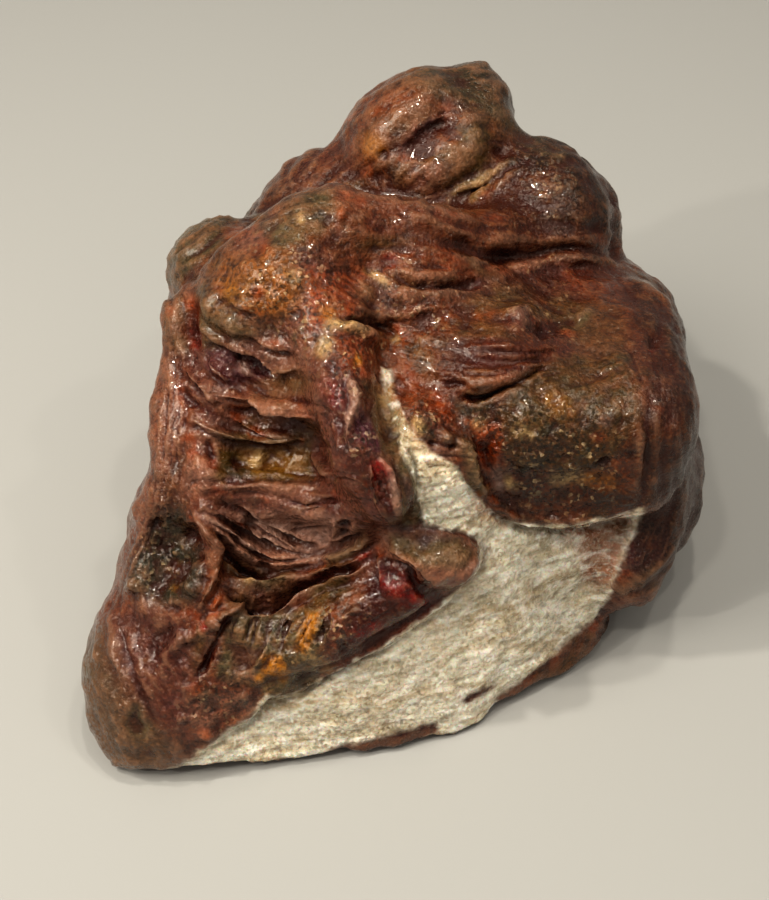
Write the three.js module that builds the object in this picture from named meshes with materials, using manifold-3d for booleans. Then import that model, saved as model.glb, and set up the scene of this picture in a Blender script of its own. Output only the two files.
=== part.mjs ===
// A raw agate: one solid stone of folded, waxy red and brown lobes over a core of milky quartz.
// The front is broken. A slanting quartz face runs across its lower right, a scooped hollow
// with shell-like ledges lies on its left, and a narrow spine stands between the two.
// Millimetres, +Z up. The stone rests on a flat break at z = 0, and its front looks along -Y.

import * as THREE from "three";
import { ImprovedNoise } from "three/addons/math/ImprovedNoise.js";
import { mergeVertices } from "three/addons/utils/BufferGeometryUtils.js";
import Module from "manifold-3d";

// Driving dimensions.
const LOOK_DOWN = THREE.MathUtils.degToRad(45);
const EYE_DISTANCE = 190;
const FLOOR = -28.7;
const REACH = 75;

// The lattice that the surface is found on, and how far its vertices are evened out.
const CELL = 2.3;
const TAPER = 110;
const NEAREST = 36;
const FARTHEST = -58;
const HALF_WIDTH = 56;
const SETTLE_ROUNDS = 5;
const SETTLE_STEP = 0.5;

// Every place below is where an eye in front of the stone, looking down at it, sees it:
// right and up across the stone's middle, and towards the eye. What is nearer looks larger,
// so a place and a size are drawn in by how near they are.
const nearness = (toward) => (EYE_DISTANCE - toward) / EYE_DISTANCE;
const seen = ([right, up, toward]) =>
  new THREE.Vector3(right * nearness(toward), up * nearness(toward), toward);

// A rounded lump. squareness 2 is an ellipsoid, and more is boxier. roll turns it in the
// picture, anticlockwise, and pitch tips its top towards the eye, both in degrees.
function lump(place, half, { roll = 0, pitch = 0, squareness = 2 } = {}) {
  const centre = seen(place);
  const radii = new THREE.Vector3(...half).multiplyScalar(nearness(place[2]));
  const turn = new THREE.Quaternion()
    .setFromEuler(
      new THREE.Euler(
        THREE.MathUtils.degToRad(pitch),
        0,
        THREE.MathUtils.degToRad(roll),
        "ZXY",
      ),
    )
    .invert();
  const local = new THREE.Vector3();
  return (p) => {
    local.subVectors(p, centre).applyQuaternion(turn);
    const share = [local.x / radii.x, local.y / radii.y, local.z / radii.z].map(Math.abs);
    const sum = share.reduce((s, x) => s + x ** squareness, 0);
    const k = Math.max(sum ** (1 / squareness), 1e-6);
    const slope = Math.hypot(
      (share[0] / k) ** (squareness - 1) / radii.x,
      (share[1] / k) ** (squareness - 1) / radii.y,
      (share[2] / k) ** (squareness - 1) / radii.z,
    );
    return (k - 1) / slope;
  };
}

// A round bar through several places, each given as [right, up, toward, radius].
function bar(...stops) {
  const points = stops.map(seen);
  const radii = stops.map((s) => s[3] * nearness(s[2]));
  const along = new THREE.Vector3();
  const from = new THREE.Vector3();
  return (p) => {
    let nearest = Infinity;
    for (let i = 1; i < points.length; i++) {
      along.subVectors(points[i], points[i - 1]);
      from.subVectors(p, points[i - 1]);
      const t = THREE.MathUtils.clamp(from.dot(along) / along.lengthSq(), 0, 1);
      const gap = from.addScaledVector(along, -t).length();
      nearest = Math.min(nearest, gap - THREE.MathUtils.lerp(radii[i - 1], radii[i], t));
    }
    return nearest;
  };
}

// All that lies beyond a flat break through a place: slopeRight and slopeUp say how much
// nearer the break comes to the eye for each millimetre right and up.
function beyondBreak(place, slopeRight, slopeUp) {
  const point = seen(place);
  const steep = Math.hypot(slopeRight, slopeUp, 1);
  return (p) => {
    const plane = point.z + slopeRight * (p.x - point.x) + slopeUp * (p.y - point.y);
    return (plane - p.z) / steep;
  };
}

// The quartz core and the hidden mass behind it, before the front is broken off.
const core = [
  { name: "middle", form: lump([3, 2, -16], [30, 32, 23]) },
  { name: "quartz wedge", form: lump([3, -6, -2], [13, 17, 22]), blend: 4 },
  { name: "lower front", form: lump([-6, -25, -6], [26, 17, 17]), blend: 6 },
  { name: "lower right", form: lump([10, -16, -10], [20, 16, 18]), blend: 6 },
  { name: "back left", form: lump([-12, 6, -22], [17, 22, 18]), blend: 8 },
  { name: "back right", form: lump([16, 10, -24], [19, 22, 18]), blend: 8 },
];

const breaks = [
  { name: "quartz face, left", form: beyondBreak([0, -30, 3.4], -0.175, 0.58) },
  { name: "quartz face, right", form: beyondBreak([20, -20, -1.8], -0.72, 0.6) },
];
const BREAK_BLEND = 6;

// The skin's lobes and folds, and what was scooped out of them, in the order they are made.
const skin = [
  { name: "top lobe", form: lump([4.8, 36.9, -14], [10.9, 10.4, 14], { roll: 22 }), blend: 3 },
  { name: "top knob", form: lump([12, 40.3, -13], [5.2, 8.2, 9], { roll: 8 }), blend: 2 },
  { name: "upper right lobe", form: lump([18.9, 27.2, -15], [10.6, 12, 14]), blend: 1.5 },
  { name: "far left shoulder", form: lump([-6.8, 26.6, -20], [11.6, 10.6, 14], { roll: 40 }), blend: 2 },
  { name: "left knob", form: lump([-19.8, 21.5, -11], [7.8, 7.6, 12]), blend: 2 },
  { name: "left wall", form: lump([-16, 2, -3], [12.6, 24, 17], { roll: -2 }), blend: 3 },
  { name: "left flank", form: lump([-18.5, -12, -3], [13.8, 18, 15], { roll: -24 }), blend: 5 },
  { name: "foot", form: lump([-27.3, -28, -3], [10.6, 13, 11], { roll: -8 }), blend: 5 },
  {
    name: "left rim",
    form: bar([-25, 17, 7, 3], [-25.8, 6, 8.5, 3], [-26.8, -3, 8.5, 3], [-29, -8, 6.5, 3]),
    blend: 3,
  },
  { name: "shoulder", form: lump([-12, 19.3, 4], [13, 9.6, 15], { roll: 34 }), blend: 3 },
  { name: "under the middle fold", form: lump([2, 18.5, 1], [11, 8, 13]), blend: 3 },
  { name: "spine wall", form: lump([-3.5, 5, 4], [6, 17, 15], { roll: 10 }), blend: 3 },
  {
    name: "right block",
    form: lump([22.3, 7.2, 0.4], [15.4, 10.4, 16.6], { pitch: 40, squareness: 4 }),
    blend: 1.2,
  },
  {
    name: "brow",
    form: lump([8, 11.8, 4], [13, 8.6, 14], { pitch: 38, roll: 8, squareness: 2.6 }),
    blend: 3,
  },
  {
    name: "shoulder fold",
    form: bar([-22.5, 17, 6, 4], [-16, 22, 10, 4.5], [-9, 27.5, 11, 5], [-5, 28, 10.5, 5]),
    blend: 3,
  },
  {
    name: "middle fold",
    form: bar([-5, 28, 10, 5], [4, 27, 7, 4.4], [11, 26, 2, 4.2], [18, 26, -5, 4.5]),
    blend: 1.5,
  },
  { name: "bean fold", form: bar([2, 22.8, 11, 2.4], [6, 24, 8.5, 2.6], [13, 22.8, 4, 2.4]), blend: 0.8 },
  {
    name: "right rim",
    form: bar([33, 12, -3, 4], [34.4, 0, -2, 4], [34, -7, -4, 4], [32, -13, -6, 4.8], [30, -15, -8, 5]),
    blend: 1.5,
  },
  { name: "right back lobe", form: lump([31.4, -3, -16], [8.6, 13.4, 12]), blend: 2 },
  { name: "far right edge", form: lump([24.9, 12.2, -16], [12.6, 14.8, 12], { roll: 25 }), blend: 2 },
  {
    name: "spine",
    form: bar([-8.4, 14.5, 14, 7], [-6.2, 8, 18, 4.8], [-3.2, 0, 20, 3.6], [0, -7.5, 18.5, 2.8]),
    blend: 2.5,
  },
  { name: "tongue", form: lump([5, -13.2, 11.5], [7, 4, 5], { roll: -14 }), blend: 2 },
  {
    name: "lower lip",
    form: bar([-21, -31, 3, 4], [-14, -26, 7, 3.6], [-6, -21.5, 9.5, 3.6], [2, -18, 11, 3.2]),
    blend: 2,
  },
  {
    name: "base slab",
    form: bar([14, -28.9, -13, 4.5], [19, -27.4, -16, 5], [24.2, -22.8, -20, 5]),
    blend: 2,
  },
  {
    name: "long hollow",
    form: bar([-16.5, 11, 22.5, 6.5], [-17, 5, 19, 8], [-16.3, -5, 18, 8.3], [-14.5, -13.5, 14.5, 8.3]),
    cut: true,
    blend: 2.5,
  },
  { name: "under the tongue", form: bar([-10, -14.5, 13, 6], [-3, -14.5, 15, 4]), cut: true, blend: 2 },
  {
    name: "quartz channel",
    form: bar([0, 11, 24, 1.8], [2.5, 3, 23.5, 3], [6, -3, 21, 4]),
    cut: true,
    blend: 1.5,
  },
  { name: "dark knots", form: bar([3.4, 4.6, 17, 2.4], [8, 1.5, 15.5, 2.8]), blend: 1 },
  { name: "first ledge", form: bar([-23, 7.5, 10, 2], [-16, 6, 11.5, 2], [-9, 5, 16, 2]), blend: 2.5 },
  {
    name: "second ledge",
    form: bar([-24, -4, 9.5, 2], [-17, -5, 9, 2.4], [-10, -6, 11, 2.2], [-4, -8.5, 15, 2]),
    blend: 3,
  },
  { name: "side pit", form: lump([-28, -14, 11], [4, 6, 5], { roll: -14 }), cut: true, blend: 2 },
  { name: "top slit", form: bar([2, 37.5, 0.8, 1.8], [8, 42, -1, 1.8]), cut: true, blend: 1.5 },
  { name: "dark slot", form: bar([6, 7.6, 19, 2], [13, 7, 20.5, 2.2], [20, 9.5, 17.5, 1.4]), cut: true, blend: 1 },
];

// Smooth union and cut: where two forms meet within the blend, a fillet joins them.
function smoothMin(a, b, blend) {
  const h = Math.max(blend - Math.abs(a - b), 0) / blend;
  return Math.min(a, b) - (h * h * h * blend) / 6;
}
const smoothMax = (a, b, blend) => -smoothMin(-a, -b, blend);

// Low swells that no lobe is without.
const SWELL = { size: 9, height: 0.7 };
const RIPPLE = { size: 4.2, height: 0.3 };

// The far side is parted into lobes by creases, which run where this noise passes zero.
const CREASE = { size: 17, height: 1, width: 0.13, depth: 1.8 };
const CREASES_START = { toward: -2, over: 10 };
const noise = new ImprovedNoise();
const swell = (p, { size, height }) => height * noise.noise(p.x / size, p.y / size, p.z / size);

// Distance to the stone's surface: negative inside.
function stone(p) {
  let d = Infinity;
  for (const { form, blend } of core) d = d === Infinity ? form(p) : smoothMin(d, form(p), blend);
  const face = breaks.map(({ form }) => -form(p)).reduce((a, b) => smoothMax(a, b, BREAK_BLEND));
  d = smoothMax(d, face, 1);
  for (const { form, blend, cut } of skin)
    d = cut ? smoothMax(d, -form(p), blend) : smoothMin(d, form(p), blend);
  const hidden = THREE.MathUtils.smoothstep((CREASES_START.toward - p.z) / CREASES_START.over, 0, 1);
  const fold = Math.exp(-((swell(p, CREASE) / CREASE.width) ** 2));
  return d + swell(p, SWELL) + swell(p, RIPPLE) + hidden * CREASE.depth * fold;
}

function slopeAt(p) {
  const e = 0.2;
  const at = (x, y, z) => stone(new THREE.Vector3(p.x + x, p.y + y, p.z + z));
  const here = stone(p);
  return new THREE.Vector3(at(e, 0, 0) - here, at(0, e, 0) - here, at(0, 0, e) - here).divideScalar(e);
}

// The lattice that the surface is found on. Its cells are small at the front, which has the
// finest forms, and grow evenly towards the back.
const shrink = (toward) => (TAPER - toward) / TAPER;
const layers = [];
for (let toward = NEAREST; toward > FARTHEST; toward -= CELL * shrink(toward)) layers.push(toward);
const across = Math.ceil(HALF_WIDTH / CELL);
const side = 2 * across + 1;
const node = (i, j, k) => i + side * (j + side * k);
const nodePlace = (i, j, k) => {
  const size = CELL * shrink(layers[k]);
  return new THREE.Vector3((i - across) * size, (j - across) * size, layers[k]);
};

function latticeValues() {
  const values = new Float64Array(side * side * layers.length);
  for (let k = 0; k < layers.length; k++)
    for (let j = 0; j < side; j++)
      for (let i = 0; i < side; i++) values[node(i, j, k)] = stone(nodePlace(i, j, k));
  return values;
}

// A cell face with inside and outside at crossed corners would pinch the surface there, so
// the weaker outside corner is filled.
function fillPinches(values) {
  const spans = [
    [[0, 0, 0], [1, 0, 0], [1, 1, 0], [0, 1, 0]],
    [[0, 0, 0], [0, 1, 0], [0, 1, 1], [0, 0, 1]],
    [[0, 0, 0], [0, 0, 1], [1, 0, 1], [1, 0, 0]],
  ];
  let filled = 1;
  while (filled) {
    filled = 0;
    for (let k = 0; k < layers.length - 1; k++)
      for (let j = 0; j < side - 1; j++)
        for (let i = 0; i < side - 1; i++)
          for (const span of spans) {
            const corners = span.map(([x, y, z]) => node(i + x, j + y, k + z));
            const inside = corners.map((c) => values[c] < 0);
            if (inside[0] !== inside[2] || inside[1] !== inside[3] || inside[0] === inside[1]) continue;
            const outside = corners.filter((c) => values[c] >= 0);
            outside.sort((a, b) => values[a] - values[b]);
            values[outside[0]] = -0.05;
            filled++;
          }
  }
}

// One vertex in every cell that the surface crosses, and one four-sided face round every
// lattice edge that it crosses.
function surface() {
  const values = latticeValues();
  fillPinches(values);
  const vertexOf = new Map();
  const points = [];
  const edges = [];
  for (let x = 0; x < 2; x++)
    for (let y = 0; y < 2; y++)
      edges.push([[0, x, y], [1, x, y]], [[x, 0, y], [x, 1, y]], [[x, y, 0], [x, y, 1]]);
  const vertex = (i, j, k) => {
    const key = node(i, j, k);
    if (!vertexOf.has(key)) {
      const middle = new THREE.Vector3();
      let crossings = 0;
      for (const [a, b] of edges) {
        const [va, vb] = [a, b].map(([x, y, z]) => values[node(i + x, j + y, k + z)]);
        if (va < 0 === vb < 0) continue;
        const [pa, pb] = [a, b].map(([x, y, z]) => nodePlace(i + x, j + y, k + z));
        middle.add(pa.lerp(pb, va / (va - vb)));
        crossings++;
      }
      vertexOf.set(key, points.length);
      points.push(middle.divideScalar(crossings));
    }
    return vertexOf.get(key);
  };
  const quads = [];
  for (let k = 1; k < layers.length - 1; k++)
    for (let j = 1; j < side - 1; j++)
      for (let i = 1; i < side - 1; i++) {
        const here = values[node(i, j, k)] < 0;
        const around = [
          [[1, 0, 0], [[0, -1, -1], [0, 0, -1], [0, 0, 0], [0, -1, 0]]],
          [[0, 1, 0], [[-1, 0, -1], [-1, 0, 0], [0, 0, 0], [0, 0, -1]]],
          [[0, 0, 1], [[-1, -1, 0], [0, -1, 0], [0, 0, 0], [-1, 0, 0]]],
        ];
        for (const [[x, y, z], cells] of around) {
          if (values[node(i + x, j + y, k + z)] < 0 === here) continue;
          const quad = cells.map(([a, b, c]) => vertex(i + a, j + b, k + c));
          quads.push(here ? quad.reverse() : quad);
        }
      }
  return { points, quads };
}

// The vertices are slid along the surface to even them out, and drawn back onto it.
function settle(points, quads) {
  const neighbours = points.map(() => new Set());
  for (const quad of quads)
    quad.forEach((v, n) => neighbours[v].add(quad[(n + 1) % 4]).add(quad[(n + 3) % 4]));
  for (let round = 0; round < SETTLE_ROUNDS; round++) {
    const moved = points.map((p, i) => {
      const middle = new THREE.Vector3();
      for (const n of neighbours[i]) middle.add(points[n]);
      return middle.divideScalar(neighbours[i].size).lerp(p, 1 - SETTLE_STEP);
    });
    moved.forEach((p, i) => {
      const slope = slopeAt(p);
      p.addScaledVector(slope, -stone(p) / Math.max(slope.lengthSq(), 0.2));
      points[i].copy(p);
    });
  }
}

// Each four-sided face is split along its shorter diagonal.
function skinMesh() {
  const { points, quads } = surface();
  settle(points, quads);
  const triangles = [];
  for (const [a, b, c, d] of quads)
    if (points[a].distanceTo(points[c]) < points[b].distanceTo(points[d]))
      triangles.push(a, b, c, a, c, d);
    else triangles.push(a, b, d, b, c, d);
  const mesh = new THREE.BufferGeometry().setFromPoints(points);
  mesh.setIndex(triangles);
  return mesh;
}

// From the eye's right, up and toward to the stone's own X, Y and Z.
const standing = new THREE.Matrix4().makeRotationX(Math.PI / 2 - LOOK_DOWN);

const wasm = await Module();
wasm.setup();
const solid = (geometry) =>
  new wasm.Manifold(
    new wasm.Mesh({
      numProp: 3,
      vertProperties: new Float32Array(geometry.getAttribute("position").array),
      triVerts: new Uint32Array(geometry.index.array),
    }),
  );

const body = skinMesh().applyMatrix4(standing);
const below = new THREE.BoxGeometry(4 * REACH, 4 * REACH, 2 * REACH);
below.deleteAttribute("normal");
below.deleteAttribute("uv");
below.translate(0, 0, FLOOR - REACH);
const cut = solid(body).subtract(solid(mergeVertices(below))).getMesh();

const geometry = new THREE.BufferGeometry();
geometry.setAttribute("position", new THREE.BufferAttribute(cut.vertProperties, 3));
geometry.setIndex(new THREE.BufferAttribute(cut.triVerts, 1));
geometry.computeVertexNormals();
geometry.computeBoundingBox();

const agate = new THREE.Mesh(
  geometry,
  new THREE.MeshStandardMaterial({ color: 0x7a4632, roughness: 0.4, metalness: 0 }),
);
agate.name = "agate";
const box = geometry.boundingBox;
agate.position.set(-(box.min.x + box.max.x) / 2, -(box.min.y + box.max.y) / 2, -FLOOR);

const group = new THREE.Group();
group.name = "raw_agate";
group.add(agate);

export default group;
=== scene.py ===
# %% [markdown]
# # A raw agate
#
# A raw agate is a lump of quartz that grew inside a cavity in rock. Its skin is folded and
# waxy, stained red, brown and olive by iron, and where it broke the milky quartz inside
# shows. The whole stone is one piece, so this lesson has one piece too: it takes the plain
# solid, gives it finer faces, carves folds, ledges and pits into them, and paints it with one
# procedural material.

import math

import bpy
import numpy as np
from mathutils import Matrix, Vector, noise


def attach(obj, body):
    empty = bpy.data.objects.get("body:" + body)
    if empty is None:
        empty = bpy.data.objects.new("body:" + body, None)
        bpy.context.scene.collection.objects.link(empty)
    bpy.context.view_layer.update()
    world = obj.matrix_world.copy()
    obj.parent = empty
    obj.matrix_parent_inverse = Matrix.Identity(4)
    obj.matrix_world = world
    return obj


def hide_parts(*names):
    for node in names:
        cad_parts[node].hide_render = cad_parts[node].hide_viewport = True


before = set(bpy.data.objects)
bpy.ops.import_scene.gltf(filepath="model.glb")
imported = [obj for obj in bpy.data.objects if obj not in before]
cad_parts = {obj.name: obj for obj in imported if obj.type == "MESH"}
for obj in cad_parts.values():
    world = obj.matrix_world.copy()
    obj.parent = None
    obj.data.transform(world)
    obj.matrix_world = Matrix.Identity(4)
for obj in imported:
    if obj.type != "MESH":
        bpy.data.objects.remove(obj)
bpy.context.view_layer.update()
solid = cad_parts["agate"]

# %% [markdown]
# ## The eye
#
# The forms of this stone were read off by one eye, 45 degrees above the table and 19 cm from
# the stone's middle. A place on the stone is therefore easiest to give as that eye sees it:
# millimetres right and up of the middle, and millimetres towards the eye. These few lines
# turn such a place into the stone's own X, Y and Z and back.

# %% Seen places
MM = 0.001
LOOK_DOWN = math.radians(45)
EYE_DISTANCE = 190
MIDDLE = Vector((-2.49, -10.56, 28.7)) * MM
RIGHT = Vector((1, 0, 0))
UP = Vector((0, math.sin(LOOK_DOWN), math.cos(LOOK_DOWN)))
TOWARD = Vector((0, -math.cos(LOOK_DOWN), math.sin(LOOK_DOWN)))
EYE = MIDDLE + TOWARD * EYE_DISTANCE * MM


def as_seen(places):
    """Right, up and toward in millimetres, for an array of places in metres."""
    from_middle = (places - np.array(MIDDLE)) / MM
    toward = from_middle @ np.array(TOWARD)
    widening = EYE_DISTANCE / (EYE_DISTANCE - toward)
    right = from_middle @ np.array(RIGHT) * widening
    up = from_middle @ np.array(UP) * widening
    return np.stack((right, up, toward), axis=1)


print("the eye is at", tuple(round(x, 3) for x in EYE))

# %% [markdown]
# ## Camera, floor and light
#
# The camera goes where the eye is. A sensor height of 900 and a width of 769 pixels at 8
# pixels a millimetre cover 112.5 mm at the middle's distance, which sets the lens.

# %% Camera
PIXELS_PER_MM = 8
PICTURE_HEIGHT = 900 / PIXELS_PER_MM
camera = bpy.data.objects.new("camera", bpy.data.cameras.new("camera"))
bpy.context.scene.collection.objects.link(camera)
camera.data.sensor_width = 36
camera.data.lens = camera.data.sensor_width * EYE_DISTANCE / PICTURE_HEIGHT
camera.data.clip_start = 0.01
camera.matrix_world = Matrix.Translation(EYE) @ Matrix((RIGHT, UP, TOWARD)).transposed().to_4x4()
bpy.context.scene.camera = camera
print("lens", round(camera.data.lens, 1), "mm")

# %% [markdown]
# The floor is one wide sheet of matt pale card. A smaller one would show its edge from a low
# angle.

# %% Floor
bpy.ops.object.select_all(action="DESELECT")
bpy.ops.mesh.primitive_plane_add(size=4)
floor = bpy.context.object
floor.name = "floor"
card = bpy.data.materials.new("matt card")
card.use_nodes = True
shader = card.node_tree.nodes["Principled BSDF"]
shader.inputs["Base Color"].default_value = (0.36, 0.36, 0.352, 1)
shader.inputs["Roughness"].default_value = 0.9
floor.data.materials.append(card)
print("floor of", floor.dimensions.x, "m")

# %% [markdown]
# One soft window on the left lights the stone, a dim fill on the right lifts the shadows, and
# six small lamps make the glints that a waxy, wet-looking surface throws. All are a little
# warm, and the world around is an even warm grey.

# %% Lights
WARM = (1, 0.94, 0.83)
GLINT_SIZE = 0.018


def lamp(name, right, up, toward, size, power):
    """A square lamp at a place given in centimetres as the eye sees it, aimed at the stone."""
    light = bpy.data.lights.new(name, "AREA")
    light.size = size
    light.energy = power
    light.color = WARM
    holder = bpy.data.objects.new(name, light)
    bpy.context.scene.collection.objects.link(holder)
    holder.location = MIDDLE + (RIGHT * right + UP * up + TOWARD * toward) / 100
    holder.rotation_mode = "QUATERNION"
    holder.rotation_quaternion = (MIDDLE - holder.location).to_track_quat("-Z", "Y")


lamp("window", -33, 22, 42, 0.2, 1.2)
lamp("fill", 18, 18, 52, 0.5, 0.55)
GLINTS = [
    (-22, 26, 32, 0.6), (2, 34, 30, 0.35), (22, 22, 36, 0.12),
    (-32, 6, 34, 0.4), (-10, 18, 46, 0.3), (12, 36, 34, 0.25),
]
for number, (right, up, toward, power) in enumerate(GLINTS, start=1):
    lamp(f"glint {number}", right, up, toward, GLINT_SIZE, power)

world = bpy.data.worlds.new("even warm grey")
bpy.context.scene.world = world
world.use_nodes = True
background = world.node_tree.nodes["Background"]
background.inputs["Color"].default_value = (1, 0.95, 0.88, 1)
background.inputs["Strength"].default_value = 0.28
bpy.context.scene.view_settings.view_transform = "Standard"
bpy.context.scene.view_settings.look = "High Contrast"

# %% [markdown]
# ## Finer faces
#
# The solid is a closed shell of faces about 2 mm across: right in its large forms, too coarse
# for folds of a millimetre. The copy is divided once all over, once more where the eye sees
# it, and a third time in the hollows, on the spine and on the block's front, whose forms are
# finest. After each division a few rounds of smoothing take the old facets out. A subdivision
# modifier would spend as many faces on the underside as on the front.

# %% The stone's own mesh
bpy.ops.object.select_all(action="DESELECT")
stone = bpy.data.objects.new("agate_stone", solid.data.copy())
bpy.context.scene.collection.objects.link(stone)
stone.data.materials.clear()
stone.select_set(True)
bpy.context.view_layer.objects.active = stone
bpy.ops.object.mode_set(mode="EDIT")
bpy.ops.mesh.select_mode(type="FACE")
bpy.ops.mesh.select_all(action="SELECT")
bpy.ops.mesh.remove_doubles(threshold=1e-6)
bpy.ops.mesh.customdata_custom_splitnormals_clear()
bpy.ops.object.mode_set(mode="OBJECT")


def vertex_places():
    places = np.empty(len(stone.data.vertices) * 3)
    stone.data.vertices.foreach_get("co", places)
    return places.reshape(-1, 3)


def vertex_normals():
    normals = np.empty(len(stone.data.vertices) * 3)
    stone.data.vertex_normals.foreach_get("vector", normals)
    return normals.reshape(-1, 3)


def face_places_and_facing():
    """Where each face's middle is seen, and how squarely the face looks at the eye."""
    faces = stone.data.polygons
    middles = np.empty(len(faces) * 3)
    normals = np.empty(len(faces) * 3)
    faces.foreach_get("center", middles)
    faces.foreach_get("normal", normals)
    middles = middles.reshape(-1, 3)
    towards_eye = np.array(EYE) - middles
    towards_eye /= np.linalg.norm(towards_eye, axis=1, keepdims=True)
    return as_seen(middles), np.sum(normals.reshape(-1, 3) * towards_eye, axis=1)


def divide(chosen, smoothing):
    """Splits each chosen face in four and smooths the whole skin a little."""
    bpy.ops.object.mode_set(mode="EDIT")
    bpy.ops.mesh.select_all(action="DESELECT")
    bpy.ops.object.mode_set(mode="OBJECT")
    stone.data.polygons.foreach_set("select", chosen)
    bpy.ops.object.mode_set(mode="EDIT")
    bpy.ops.mesh.subdivide(number_cuts=1, ngon=False)
    bpy.ops.mesh.select_all(action="SELECT")
    bpy.ops.mesh.vertices_smooth(factor=0.5, repeat=smoothing)
    bpy.ops.mesh.quads_convert_to_tris()
    bpy.ops.object.mode_set(mode="OBJECT")
    print("now", len(stone.data.polygons), "faces")


divide(np.ones(len(stone.data.polygons), dtype=bool), smoothing=2)

# %% Finer towards the eye
JUST_PAST_THE_EDGE = -0.05
seen, facing = face_places_and_facing()
divide(facing > JUST_PAST_THE_EDGE, smoothing=3)

# %% Finest in the hollows, on the spine and on the block's front
FINEST_BOXES = [(-25, 4, -30, 16), (-22, -2, 16, 24), (4, 31, -9, 14)]
seen, facing = face_places_and_facing()
right, up, toward = seen.T
finest = np.zeros(len(facing), dtype=bool)
for left_edge, right_edge, bottom, top in FINEST_BOXES:
    finest |= (right > left_edge) & (right < right_edge) & (up > bottom) & (up < top)
divide(finest & (facing > 0) & (toward > 0), smoothing=2)

# %% [markdown]
# ## Carving by strokes
#
# A sculptor would now draw along each fold with a brush. The strokes below do the same in
# code: each is a short line of seen places, with a half width and a height in millimetres.
# Skin near the line moves out along its own normal for a positive height, and in for a
# negative one. The stroke fades out towards its ends and only reaches skin that faces the
# eye. A soft stroke is round. A ledge is sharp, as shell-like breaks are: drawn from left to
# right, it rises slowly from above and drops steeply below its line.
#
# Hundreds of strokes are easier to read as rows of text than as code. A row gives an amount,
# then a kind of shape with its size, then the places it is drawn through, right and up. A long
# row goes on in the next line, four spaces in.
#
# - `0.5 0.6: -3,32 3,30.6` is a soft stroke of 0.5 mm, 0.6 mm to each side of its line
# - `0.7 ledge 0.35: 1.6,36.4 9,42` is a ledge
# - `-0.4 area 1.2: 1.6,37.4 5,41.4 9,42` fills an outline, with a soft edge of 1.2 mm
# - `0.5 spot 3,0.6,30: 20,15` is a spot of radius 3, flattened to 0.6 and rolled 30 degrees

# %% Strokes


def noise_at(places, size, seed, octaves=1):
    """Smooth noise of about -1 to 1, with bumps of the given size in millimetres."""
    shift = Vector((seed, seed * 2.3, seed * 5.7))
    scale = 1 / (size * MM)
    values = np.zeros(len(places))
    for octave in range(octaves):
        step = 2**octave
        values += [noise.noise(Vector(p) * scale * step + shift) / step for p in places]
    return values


def frayed(amount):
    """Seen places shaken by a little noise, so that every line drawn on them wavers."""
    places = vertex_places()
    seen = as_seen(places)
    for axis in (0, 1):
        seen[:, axis] += amount * noise_at(places, 6, 51 + axis, 3)
    return seen


WAVER = 0.45
drawn = frayed(WAVER)
seen = drawn


def beside(points):
    """Distance from a line of points, how far along it, and 1 above the line or -1 below."""
    flat = seen[:, :2]
    lengths = [math.dist(a, b) for a, b in zip(points, points[1:])]
    nearest = np.full(len(flat), np.inf)
    share = np.zeros(len(flat))
    side = np.zeros(len(flat))
    done = 0
    for a, b, length in zip(points, points[1:], lengths):
        along = np.subtract(b, a) / length
        t = np.clip((flat - a) @ along, 0, length)
        gap = np.linalg.norm(flat - a - t[:, None] * along, axis=1)
        closer = gap < nearest
        nearest[closer] = gap[closer]
        share[closer] = (done + t[closer]) / sum(lengths)
        across = (flat - a) @ np.array((-along[1], along[0]))
        side[closer] = np.sign(across[closer])
        done += length
    return nearest, share, side


def eased(x):
    """A soft step: 0 up to 0, 1 from 1 on, and a smooth curve between."""
    x = np.clip(x, 0, 1)
    return x * x * (3 - 2 * x)


LEDGE_ABOVE, LEDGE_BELOW = 0.45, 1.4
LEDGE_HEIGHT, LEDGE_STEEPNESS = 1.3, 1.5
END_SHARE = 0.15


def stroke(points, width, sharp=False, fade=0.4):
    """1 on the line, 0 beyond twice its half width, fading over a share of its length."""
    near, share, side = beside(points)
    if sharp:
        near = near * np.where(side > 0, LEDGE_ABOVE, LEDGE_BELOW)
    across = np.clip(1 - near / (2 * width), 0, 1)
    profile = LEDGE_HEIGHT * across**LEDGE_STEEPNESS if sharp else eased(across)
    ends = eased(np.minimum(share, 1 - share) / fade + END_SHARE)
    return profile * ends


def spot(right, up, radius, squash=1, roll=0):
    """1 at a place, 0 beyond its radius. squash flattens it, roll turns it in degrees."""
    turn = math.radians(roll)
    x, y = seen[:, 0] - right, seen[:, 1] - up
    long = (x * math.cos(turn) + y * math.sin(turn)) / radius
    short = (y * math.cos(turn) - x * math.sin(turn)) / (radius * squash)
    return eased(1 - np.hypot(long, short))


def inside(outline, soft):
    """1 within an outline of seen places, 0 outside, over a soft edge in millimetres."""
    closed = outline + outline[:1]
    x, y = seen[:, 0], seen[:, 1]
    odd = np.zeros(len(seen), dtype=bool)
    for (x1, y1), (x2, y2) in zip(closed, closed[1:]):
        if y1 == y2:
            continue
        crosses = (y1 > y) != (y2 > y)
        odd ^= crosses & (x < (x2 - x1) * (y - y1) / (y2 - y1) + x1)
    gap = beside(closed)[0]
    return eased(0.5 + np.where(odd, gap, -gap) / (2 * soft))


FACING_EDGE = 0.3


def facing_share(reach=0):
    """0 for skin turned from the eye, 1 for skin that looks at it. reach widens the 1."""
    places = vertex_places()
    towards_eye = np.array(EYE) - places
    towards_eye /= np.linalg.norm(towards_eye, axis=1, keepdims=True)
    return eased(np.sum(vertex_normals() * towards_eye, axis=1) / FACING_EDGE + reach)


def points_of(text):
    """The places in a piece of text, such as -3,32 3,30.6, as pairs of numbers."""
    return [tuple(float(number) for number in pair.split(",")) for pair in text.split()]


def moved(points, right, up):
    """The same line, moved right and up."""
    return [(x + right, y + up) for x, y in points]


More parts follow.
